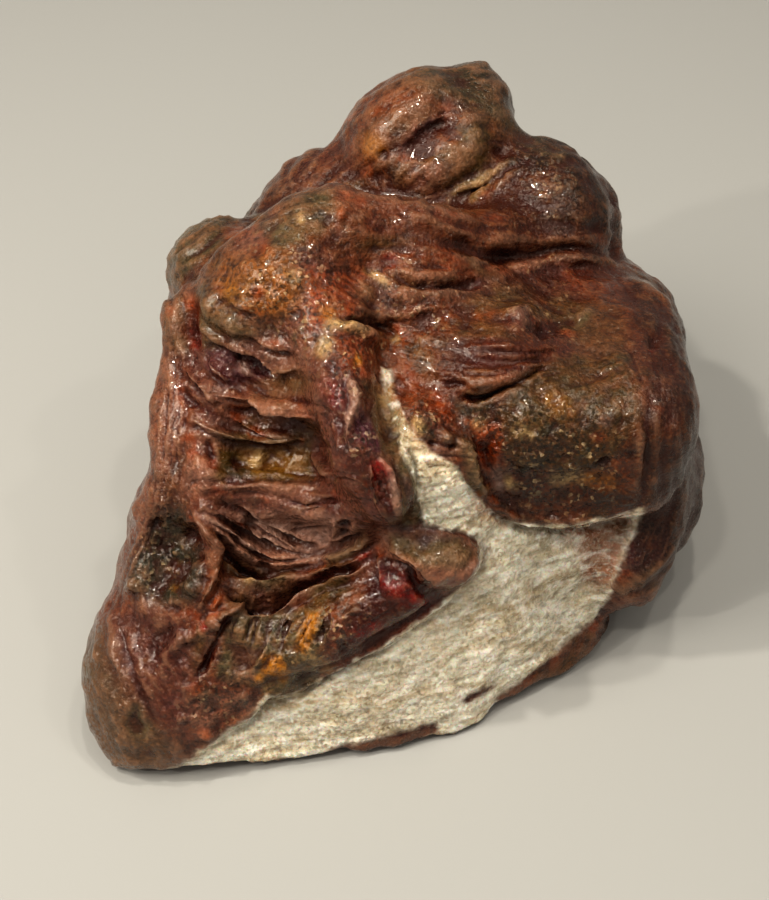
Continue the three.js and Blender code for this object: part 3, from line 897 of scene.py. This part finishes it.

# %% Painting the lower hollow and its lip
# The lilac lines on the ledge crests are painted highlights, and the lilac wash over the ledges
# is painted light. The dark line along the deepest trough is painted shade, and the rose lines
# on the crests are partly painted highlight.
paint_rows("""
mauve 0.8 area 0.7: -24,-6.6 -10,-7.4 -3,-9 -3,-12 -9,-15 -16,-14 -21,-10.4
rose 0.75 area 0.7: -22,-8 -10,-8 -4,-9.6 -3,-12 -9,-15 -16,-14 -20,-11
rose 0.6 1.3: -11,-9.6 -8,-10 -6.4,-9
rose 0.9 0.35: -23.3,-7.7 -20.5,-9.4 -18.5,-10.6 -16.5,-12.2 -14,-13.4 -9,-13.5
lilac 1 0.25: -23.3,-7.7 -20.5,-9.4 -18.5,-10.6 -16.5,-12.2 -14,-13.4
lilac 1 0.3: -22.8,-8.4 -20.8,-10.5 -18.5,-12.4 -16,-14 -13.5,-14.6 -9,-14
lilac 1 0.25: -21,-7.8 -18,-8.9 -15.5,-10.6 -12.5,-12.2
lilac 1 0.25: -18.2,-7 -15.5,-8 -13,-9.2 -10.5,-10.8
lilac 0.7 0.7: -9,-11.6 -7.6,-10.4 -6.8,-9
lilac 0.4 area 1: -20,-7.6 -8,-8 -3,-10 -4,-12.4 -10,-14 -16,-12
rose 0.9 0.4: -22.8,-8.4 -20.8,-10.5 -18.5,-12.4 -16,-14 -13.5,-14.6 -7.5,-14
dark 0.6 0.4: -21.4,-6.4 -19,-6.8 -17.6,-7.4
wine 0.95 0.55: -21.4,-11.2 -19.6,-13.2 -17.6,-14.8 -15.4,-15.9 -13,-15.7
rust 0.7 0.5: -13.4,-15.6 -10,-15 -7,-14.8
sage 0.9 0.65: -19.4,-16.2 -17,-17 -14.4,-17 -12.4,-16.2 -10.4,-15.8
cream 0.6 0.45: -18.2,-16.5 -16.4,-17
dark 0.7 0.6: -19.8,-17.3 -18.3,-18.7 -16.3,-19.5 -14,-19 -12,-18.1
wine 0.8 0.7: -12,-18.1 -9.5,-17.2 -6.5,-15.9 -3.6,-14
sage 0.6 0.7: -8,-13.5 -5.5,-13 -3.5,-12 -1.2,-10.6
red 0.6 0.5: -3.4,-13.6 -1.4,-12.8
wine 0.9 spot 1.1: -5.2,-10
wine 0.6 spot 0.9: -2.8,-9
olive 0.7 0.9: -10,-18.8 -6.6,-17.6 -3.4,-16.4
moss 0.9 area 1.6: -27,-5.4 -25,-7 -24.4,-11 -22.4,-15 -23.4,-19 -28,-19.6 -32,-17 -30.8,-12
wine 0.7 spot 2.4,0.7: -30.6,-18.6
rust 0.6 spot 1.8,0.7,40: -26.6,-14.4
olive 0.6 spot 1.6: -28.6,-8
ochre 0.5 spot 0.9: -26.4,-17
wine 0.95 0.75: -24.2,-9 -23.8,-11 -22.8,-13 -22.3,-15
rust 0.8 0.4: -22,-12 -21.7,-15 -22.1,-17.6
orange 0.95 0.7: -20.8,-17.4 -20.8,-19.6 -21.6,-21.6
red 0.8 spot 1: -22.4,-22
sage 0.85 area 0.7: -20.6,-21.6 -18.6,-20.4 -9,-20 -7,-22 -8,-29 -14,-31 -21,-28
rose 0.5 area 0.7: -18.6,-24 -16,-25 -16,-29 -19.4,-28.6
moss 0.8 0.6: -16,-22.4 -13,-22.4 -11.4,-21.8
ochre 1 area 0.4: -10,-20.4 -8.4,-20.2 -8.6,-23 -9.6,-25.4 -11.2,-25.2
ochre 1 area 0.4: -15,-25.6 -12.8,-25.8 -11.4,-28 -12.6,-29 -15.4,-28
wine 0.8 area 0.5: -21,-21.4 -18.6,-20.6 -20.6,-26 -23.4,-29.4 -23.6,-27
ochre 0.9 spot 1: -15.6,-28.6
olive 0.8 0.7: -13,-23.6 -11.6,-26 -11,-28
mauve 0.7 1.3: -8,-26.8 -5.6,-24 -3,-22.6
cream 0.6 0.5: -10,-25.6 -8.4,-26.4 -6,-27
wine 0.95 spot 1.3: -4.8,-24.4
wine 0.95 0.5: -23.9,-29.4 -22.3,-26.6 -21.2,-24.3
rust 0.7 0.4: -21.2,-24.3 -19.8,-22 -18.4,-20.6
rose 0.6 area 0.8: -24,-31 -16,-30 -15.4,-32 -22,-35 -25.6,-34
dark 0.8 0.6: -18.4,-30.8 -17,-31.6
moss 0.8 0.5: -23.8,-30.8 -22.6,-31.2 -21.8,-29.2
orange 0.75 spot 1.5,0.6: -22.4,-35.2
""")

# %% Painting the left side and the foot
paint_rows("""
mauve 0.6 area 1: -30,16 -25.4,12 -25.4,-6 -31,-12 -34,-22 -40,-22 -36,-8
rose 0.5 1: -28,14 -27.4,6 -27.6,-2 -29.6,-7
mauve 0.85 area 1: -33,-20 -24,-21 -24,-34 -27,-42 -40,-42 -40,-22
wine 0.35 area 1: -31,-19.6 -24,-20.4 -25,-28 -30,-27
moss 0.6 1: -37.6,-26 -38,-29
sage 0.7 0.9: -31.6,-31 -31,-33.6 -29,-36.4
dark 0.5 spot 1.4: -31,-33.8
rust 0.5 spot 1.6: -35,-35.4
sage 0.45 area 2: -40,-22 -35,-22 -32,-32 -26,-37 -27,-42 -40,-41
purple 0.4 1: -28.4,-32 -26,-32 -25,-34
""")

# %% Painting the block
# The dark stroke in the slot under the block's brow and the dark stroke down the groove on its
# right are painted shade. The lilac stroke on its front is a painted glint.
paint_rows("""
mauve 0.7 area 1: 4,20 14,22 22,24 30,22.4 22,19 10,18
rose 0.6 0.7: 14,22.4 18,23.6 22,24
orange 0.45 area 0.7: 22,23 26,23 26.4,20 23,19.6
rust 0.3 area 1.4: 24,21 33,19 36,12 31,9 26,14
olive 0.6 1.4: 8,17 14,19 20,19
purple 0.7 spot 2.6,0.8: 16.6,16.2
wine 0.8 1: 18,15 20,15 22,14.6
mauve 0.5 area 1.4: 20,23 32,21 35,12 30,9 24,14
olive 0.4 area 1.4: 22,19 30,18 31,11 24,12
sage 0.7 0.4: 23.8,15.2 25,16.4 25.6,17.8
olive 0.6 area 1: 5,13.6 12,16.4 18,14 8,12
rust 0.9 area 0.8: 8,14 22,13 20,10.4 8,8.6
orange 0.8 spot 1.8,0.5: 13,13.6
red 0.8 0.5: 10.4,11.8 12,11.2 15,11.4
ochre 0.6 0.6: 9,10.4 12,10 14,10.6
wine 0.9 0.9: 7.4,8 9,9 10,8
wine 0.8 0.5: 15,9.8 17,10.2
dark 0.95 0.6: 9.4,6.6 11.5,6.3 13.5,6.9 15.5,8 17.8,8.5
olive 0.85 area 1.2: 19,11 30,12 31.6,4 28,-2 16,-2 14,5
ochre 0.7 1.2: 19,8 22,5.6 24,4
cream 0.6 0.7: 15.6,2.8 18,2 19,3
orange 0.6 0.8: 26,2.4 27,0.6
rose 0.6 0.8: 26,4 28.6,3
moss 0.8 area 0.8: 14.6,0 21,3 22,0 17,-3.6
orange 0.8 area 0.6: 10.4,3.6 14.4,3 14.6,0.4 13.4,-3 12,-1
cream 0.5 0.7: 10.6,3 13,3.2
sage 0.9 0.8: 9.4,2.4 10.4,-1 11.4,-4 13.2,-6
moss 0.8 0.8: 7.8,5 10.6,4.6 14,5.4
dark 0.85 spot 1.6: 27,-2
dark 0.8 spot 1.5: 30.6,-0.6
dark 0.6 0.7: 15.6,-3.8 18,-4.4 21,-3.8
ochre 0.7 0.8: 22,-4.4 26,-4 30,-4.6
cream 1 0.8: 20.4,-3.2 22,-4.2 23.6,-3.5 25.2,-4.4
cream 0.9 0.5: 14.8,-2.8 15.6,-4.4 16.8,-5
lilac 0.9 0.5: 13.6,-1.6 14,-3.6 15,-5.4
dark 0.6 area 0.7: 16,-5.4 31,-5 31.4,-7 20,-8.6 16,-7.4
rust 0.5 0.7: 16,-6.4 21,-7.4 27,-7
moss 0.7 spot 1.7: 7.8,1.4
dark 0.8 spot 1,0.5,40: 8.4,0
cream 0.7 spot 0.9,0.6,-50: 5,2.6
cream 0.9 0.6: 3.6,4.4 4.4,2.4 5,1.6
dark 0.8 0.5: 4.4,3.2 6,1.6 6,0
orange 0.7 0.9: 5,7 7,5.4 8.4,3
rust 0.7 0.8: 33.8,5 34.2,1 34.4,-3
dark 0.5 0.6: 32.8,8 33,2 32.8,-3 32.3,-8
mauve 0.7 area 0.8: 35,8 40,8 40,-10 36,-10
rose 0.35 0.9: 37,4 38,-2 37.6,-8
purple 0.55 area 0.8: 30.6,-9.4 36,-9 35,-14 30,-14.6
sage 0.6 1: 28,-18 32,-17 35.6,-13.6
red 0.7 spot 1.1,0.6,20: 33.6,12.8
orange 0.7 spot 1.5,0.6: 34,14.4
moss 0.6 spot 2,0.5: 30,11.6
""")

# %% Painted shade on the lobes that were turned from the light
paint_rows("""
dark 0.55 area 2: 4,50 16,50 24,42 20,37 14,41 6,43
dark 0.85 area 2: 14,38 24,41 32,30 29,26 12,27 14,34
dark 0.35 area 1.5: -30,22 -20,32 -8,38 -4,34 -16,27 -26,19
wine 0.3 area 2: -4,30 10,30 26,27 22,24 4,24
wine 0.6 area 1.5: 6,15 22,14 24,10 8,7
dark 0.85 area 2: 30,22 40,20 42,-12 32,-20 31,-8 33,8
dark 0.45 area 2: 12,8 31,11 32,-8 14,-8
""", strength=0.9 + 0.5 * streaky)

# %% [markdown]
# The stains, the painted highlights and the painted shade were read off from one side. Where
# the skin turns away from the eye they fade into the ground colours, which carry on round the
# back.

# %% Round the back
front = facing_share(reach=0.8)[:, None]
tint = ground * (1 - front) + tint * front
print("stained share of the skin", round(float(front.mean()), 2))

# %% [markdown]
# Quartz goes on last, because the break cuts through every stain. It is milk white, warmer
# where the skin is thin behind it, with a few brown chips along the base.

# %% Painting the quartz
paint("wine", 1.5 * chips)
skin_tint = tint
tint = np.tile(PIGMENTS["milk"], (len(places), 1))
paint("cream", eased(0.4 + noise_at(places * [0.4, 1, 1.4], 4, 31, 2)) * 0.5)
paint("sage", eased(-0.1 + 1.6 * noise_at(places * [0.5, 1, 1.2], 9, 32, 2)) * 0.2)
paint_rows("""
orange 0.75 area 1.2: 23,-9.4 31,-8 30,-13 28.6,-18 25,-16.4
olive 0.4 area 0.9: 17,-9 22.6,-9 22,-12 18,-11.6
orange 0.5 0.8: 10.6,-4.4 12,-7 14,-8.6 17,-9.4
cream 0.9 1.2: -0.4,10.6 0.4,8 1.6,4.6 3,2
ochre 0.5 0.8: -0.4,10.6 0.2,8 1,5
orange 0.8 0.7: 1,10 1.8,6 3.4,3 6,0
dark 0.8 0.4: 4.4,2.6 5.4,1 7,-0.8
sage 0.6 0.7: 0.4,7 1.6,3 2.8,0 3.6,-4 4.8,-8
ochre 0.4 1.4: 2,6 5,0 9,-3
rust 0.5 0.5: 9.6,-10.6 12.4,-12.6 11.6,-16
rust 0.5 0.4: 10,-31 12,-30.4 14,-29.2
olive 0.5 0.4: 6,-34.4 9,-32.4
""")
tint = tint * quartz[:, None] + skin_tint * (1 - quartz[:, None])
print("painted,", np.round(tint.mean(axis=0), 3), "on average")

# %% [markdown]
# ## Gloss, grain, clearness and hollows
#
# Some folds shine as if wet and others are dull and grainy. The red lump and the quartz let
# some light in. Each of these is one number per vertex. How deep a vertex lies below its
# surroundings is measured from the mesh itself, and paints shade into the hollows and a paler
# highlight onto the crests. Some whole patches are painted darker as shade, so the last table
# adds them to the same number.

# %% Gloss, grain and clearness
gloss = 0.3 + 0.35 * eased(0.5 + noise_at(places, 6, 41, 2))
GLOSSY = """
0.6 area 2: -40,-20 -24,-20 -23,-36 -30,-43 -42,-43
0.6 area 2: -26,14 -8,14 -4,0 0,-14 -12,-19 -24,-16
0.5 area 1: -2,-10 12,-10 12,-16 6,-20 -1,-20
0.5 0.8: 2,37.4 3,39.6 5.6,41.4 9,42
-0.5 area 0.8: 4,37 5,39 7,40.4 9.6,40.4 9,38.6 6,36.6
0.4 area 3: 8,26 30,22 34,12 20,14 8,18
0.9 area 1: -32,-6 -24,-8 -23,-19 -33,-19
-0.35 area 3: -22,24 -4,24 6,10 -4,12 -20,16
0.4 area 2: 10,0 30,0 31,-8 14,-7
0.5 area 1: -8,11 -3,8 0,0 3,-9 -1,-10 -4,-2 -8,4
"""
for _, amount, shape in rows(GLOSSY):
    gloss += amount * shape
gloss = np.clip(gloss * (1 - 0.7 * quartz), 0, 1)
grainy = np.clip(rough_skin - 0.25, 0, 1) * (1 - quartz)
clear = np.clip(0.6 * quartz, 0, 1)
red_lump = points_of("-0.2,-14.6 2.4,-15 6,-17.6 6.6,-20 3,-22 -1,-21")
clear += 0.45 * inside(red_lump, 0.8)
print("gloss", round(float(gloss.mean()), 2), "grain", round(float(grainy.mean()), 2))

# %% Hollows, from the mesh
ends = np.empty(len(stone.data.edges) * 2, dtype=int)
stone.data.edges.foreach_get("vertices", ends)
first, second = ends.reshape(-1, 2).T
neighbours = np.bincount(ends, minlength=len(places))


def mean_of_neighbours(values):
    """Each vertex's neighbours' mean, column by column."""
    columns = []
    for column in values.T:
        total = np.bincount(first, column[second], len(column))
        total += np.bincount(second, column[first], len(column))
        columns.append(total / neighbours)
    return np.stack(columns, axis=1)


hollow = np.zeros(len(places))
smoothed = places
for rounds, weight in [(3, 9), (14, 3)]:
    for _ in range(rounds):
        smoothed = mean_of_neighbours(smoothed)
    depth = np.sum((smoothed - places) * vertex_normals(), axis=1) / MM
    hollow += weight * depth
# Painted shade: whole patches painted darker, most on the lobes turned from the light, in the
# slit on the top lobe and on the block's orange band, less on the lip, the foot and the red
# lump.
dirt = np.zeros(len(places))
DIRTY = """
0.22 area 2: -2,44 8,50 16,50 24,42 20,37 6,43
1.1 area 0.8: 3,37 3.6,38.8 5.6,40.4 8.4,41 9,39.6 6,37.6
0.75 area 3: 14,38 24,41 32,30 29,26 12,27 14,34
0.2 area 2: -30,18 -24,30 -8,38 -4,34 -16,27
0.2 area 3: -24,24 -8,30 -4,18 -14,15 -22,17
0.8 area 2: 7,14.4 20,14 19,10.6 8,8.6
0.25 area 3: 8,6 14,8 30,11 31,-8 14,-7
0.85 area 3: 30,20 40,18 42,-12 32,-20 31,-8 33,8
0.3 area 2: -20,-22 -8,-21 -4,-26 -14,-31 -22,-29
0.22 area 3: -40,-20 -26,-20 -25,-34 -28,-43 -42,-42
0.5 area 1: -1,-14 3,-15 7.4,-18.4 4,-22 -3,-26 -5,-22
"""
for _, amount, shape in rows(DIRTY):
    dirt = np.maximum(dirt, amount * shape * (1 - quartz))
# Depth and painted shade make one number: above zero it paints shade, below zero a paler
# highlight on the crests.
hollow = np.clip(hollow * 0.5 + dirt * front[:, 0], -1, 1)
print("deepest", round(float(hollow.max()), 2), "highest", round(float(hollow.min()), 2))

# %% Store them on the stone
colours = np.ones((len(places), 4))
colours[:, :3] = tint
painted = stone.data.attributes.new("tint", "FLOAT_COLOR", "POINT")
painted.data.foreach_set("color", colours.ravel())
for name, values in [
    ("quartz", quartz), ("gloss", gloss), ("grain", grainy), ("clear", clear),
    ("hollow", hollow), ("across", across), ("along", along),
]:
    stone.data.attributes.new(name, "FLOAT", "POINT").data.foreach_set("value", values)
print([a.name for a in stone.data.attributes if not a.is_internal])

# %% [markdown]
# ## The material
#
# One material covers the stone, because it is one stone. It starts from the painted tint.
# Noise breaks the tint up at 1 mm and below, crystals show as pale and dark specks where the
# skin is grainy, shade is painted into the hollows and a paler highlight onto the crests.
# Quartz gets fine level streaks instead.

# %% The stone's material
agate = bpy.data.materials.new("iron stained agate")
agate.use_nodes = True
nodes = agate.node_tree.nodes
links = agate.node_tree.links
shader = nodes["Principled BSDF"]


def plug(value, socket):
    """Links an output to a socket, or sets the socket where the value is plain."""
    if isinstance(value, bpy.types.NodeSocket):
        links.new(value, socket)
    else:
        socket.default_value = value


def attribute(name):
    node = nodes.new("ShaderNodeAttribute")
    node.attribute_name = name
    return node.outputs["Color" if name == "tint" else "Fac"]


def maths(operation, a, b, clamp=False):
    node = nodes.new("ShaderNodeMath")
    node.operation = operation
    node.use_clamp = clamp
    plug(a, node.inputs[0])
    plug(b, node.inputs[1])
    return node.outputs[0]


def times(a, b):
    return maths("MULTIPLY", a, b)


def plus(a, b):
    return maths("ADD", a, b)


def blend(share, a, b):
    node = nodes.new("ShaderNodeMix")
    node.data_type = "RGBA"
    plug(share, node.inputs["Factor"])
    plug(a, node.inputs["A"])
    plug(b, node.inputs["B"])
    return node.outputs["Result"]


def washed(colour, washes):
    """Lays plain colours over a colour, one after another, each by its own share."""
    for share, *wash in washes:
        colour = blend(share, colour, (*wash, 1))
    return colour


def spread(value, low, high, to_high, to_low=0):
    """Turns the range from low to high into the range from to_low to to_high."""
    node = nodes.new("ShaderNodeMapRange")
    plug(value, node.inputs["Value"])
    node.inputs["From Min"].default_value = low
    node.inputs["From Max"].default_value = high
    node.inputs["To Min"].default_value = to_low
    node.inputs["To Max"].default_value = to_high
    return node.outputs["Result"]


def clouds(size, detail, stretch=(1, 1, 1)):
    """Noise with features of the given size in millimetres."""
    mapping = nodes.new("ShaderNodeMapping")
    mapping.inputs["Scale"].default_value = stretch
    links.new(place, mapping.inputs["Vector"])
    node = nodes.new("ShaderNodeTexNoise")
    node.inputs["Scale"].default_value = 1 / (size * MM)
    node.inputs["Detail"].default_value = detail
    links.new(mapping.outputs["Vector"], node.inputs["Vector"])
    return node.outputs["Fac"]


def crystals(size):
    """Small facets: a random colour for each, and a height that tilts each its own way."""
    node = nodes.new("ShaderNodeTexVoronoi")
    node.inputs["Scale"].default_value = 1 / (size * MM)
    links.new(place, node.inputs["Vector"])
    parts = nodes.new("ShaderNodeSeparateColor")
    links.new(node.outputs["Color"], parts.inputs["Color"])
    tilt = vectors("SUBTRACT", node.outputs["Color"], (0.5, 0.5, 0.5)).outputs["Vector"]
    from_middle = vectors("SUBTRACT", place, node.outputs["Position"]).outputs["Vector"]
    height = vectors("DOT_PRODUCT", tilt, from_middle).outputs["Value"]
    return parts.outputs["Red"], parts.outputs["Green"], times(height, 1 / MM)


def vectors(operation, a, b):
    node = nodes.new("ShaderNodeVectorMath")
    node.operation = operation
    plug(a, node.inputs[0])
    plug(b, node.inputs[1])
    return node


place = nodes.new("ShaderNodeTexCoord").outputs["Object"]
tint_paint = attribute("tint")
quartz_share = attribute("quartz")
gloss_share = attribute("gloss")
grain_share = attribute("grain")
clear_share = attribute("clear")
depth_share = attribute("hollow")
print(len(nodes), "nodes so far")

# %% Patterns
fine = clouds(0.45, 6)
middling = clouds(1.5, 5)
coarse = clouds(4, 4)
ripples = clouds(1.6, 3, (0.55, 1, 1.5))
facet_red, facet_green, facet_height = crystals(0.4)
flow_place = nodes.new("ShaderNodeCombineXYZ")
links.new(times(attribute("across"), 2.2), flow_place.inputs["X"])
links.new(times(attribute("along"), 0.22), flow_place.inputs["Y"])
flow_noise = nodes.new("ShaderNodeTexNoise")
flow_noise.inputs["Scale"].default_value = 1
flow_noise.inputs["Detail"].default_value = 4
links.new(flow_place.outputs["Vector"], flow_noise.inputs["Vector"])
lines = flow_noise.outputs["Fac"]
print(len(nodes), "nodes so far")

# %% Colour
smooth_share = maths("SUBTRACT", 1, grain_share, clamp=True)
pale_speck = times(spread(facet_red, 0.8, 0.9, 0.55), grain_share)
pale_speck = times(pale_speck, spread(middling, 0.45, 0.65, 1))
dark_speck = times(spread(facet_green, 0.7, 0.85, 0.55), grain_share)
colour = washed(tint_paint, [
    (spread(coarse, 0.45, 0.65, 0.4), 0.17, 0.055, 0.018),
    (spread(middling, 0.52, 0.66, 0.5), 0.2, 0.075, 0.025),
    (spread(middling, 0.47, 0.34, 0.8), 0.025, 0.008, 0.004),
    (spread(fine, 0.53, 0.7, 0.4), 0.27, 0.12, 0.05),
    (spread(fine, 0.48, 0.33, 0.7), 0.014, 0.006, 0.003),
    (times(spread(lines, 0.53, 0.68, 0.4), smooth_share), 0.24, 0.12, 0.07),
    (times(spread(lines, 0.47, 0.3, 0.55), smooth_share), 0.03, 0.01, 0.006),
])
colour = blend(times(gloss_share, 0.6), colour, tint_paint)
colour = washed(colour, [
    (pale_speck, 0.5, 0.38, 0.22),
    (dark_speck, 0.02, 0.018, 0.012),
    # Painted shade darkens the hollows and the shaded patches, and a painted highlight lightens
    # the crests.
    (spread(depth_share, 0.1, 0.9, 0.75), 0.04, 0.008, 0.004),
    (spread(depth_share, -0.3, -1, 0.25), 0.36, 0.2, 0.12),
])
sugar_colour = washed(tint_paint, [
    (spread(middling, 0.42, 0.65, 0.25), 0.42, 0.35, 0.23),
    (spread(ripples, 0.5, 0.35, 0.45), 0.36, 0.3, 0.2),
    (spread(fine, 0.5, 0.68, 0.3), 0.95, 0.91, 0.82),
    (spread(ripples, 0.5, 0.64, 0.6), 0.97, 0.94, 0.86),
    (spread(facet_red, 0.75, 0.95, 0.12), 0.45, 0.36, 0.24),
    # Painted shade darkens the quartz in its hollows.
    (spread(depth_share, 0.2, 0.9, 0.4), 0.16, 0.1, 0.05),
])
colour = blend(quartz_share, colour, sugar_colour)
links.new(colour, shader.inputs["Base Color"])
print(len(nodes), "nodes so far")

# %% Gloss, clearness and the finest relief
dullness = spread(gloss_share, 0, 1, 0.1, to_low=0.44)
dullness = plus(dullness, spread(fine, 0.3, 0.7, 0.1, to_low=-0.1))
dullness = maths("ADD", dullness, times(quartz_share, -0.16), clamp=True)
links.new(dullness, shader.inputs["Roughness"])
shader.inputs["Specular IOR Level"].default_value = 0.38
shader.inputs["Coat Weight"].default_value = 0.3
shader.inputs["Coat Roughness"].default_value = 0.05
shader.inputs["IOR"].default_value = 1.5
links.new(clear_share, shader.inputs["Subsurface Weight"])
shader.inputs["Subsurface Radius"].default_value = (1, 0.55, 0.35)
shader.inputs["Subsurface Scale"].default_value = 0.0014

facet_share = plus(times(grain_share, 0.8), times(quartz_share, 1.7))
facet_share = plus(facet_share, times(gloss_share, 0.9))
relief = plus(times(fine, 0.3), times(lines, 0.12))
relief = plus(relief, times(middling, 0.3))
relief = plus(relief, times(ripples, times(quartz_share, 0.7)))
relief = plus(relief, times(facet_height, facet_share))
bump = nodes.new("ShaderNodeBump")
bump.inputs["Strength"].default_value = 0.7
bump.inputs["Distance"].default_value = 0.001
links.new(relief, bump.inputs["Height"])
links.new(bump.outputs["Normal"], shader.inputs["Normal"])
stone.data.materials.append(agate)
print(len(nodes), "nodes in all")

# %% [markdown]
# ## Finish
#
# Shading is smooth everywhere, since every edge worth seeing is now in the mesh. The stone
# rides on the solid's own body, takes its place in the picture, and the solid itself is hidden.

# %% Finish the stone
bpy.ops.object.select_all(action="DESELECT")
stone.select_set(True)
bpy.context.view_layer.objects.active = stone
bpy.ops.object.shade_smooth()
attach(stone, "root")
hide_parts("agate")
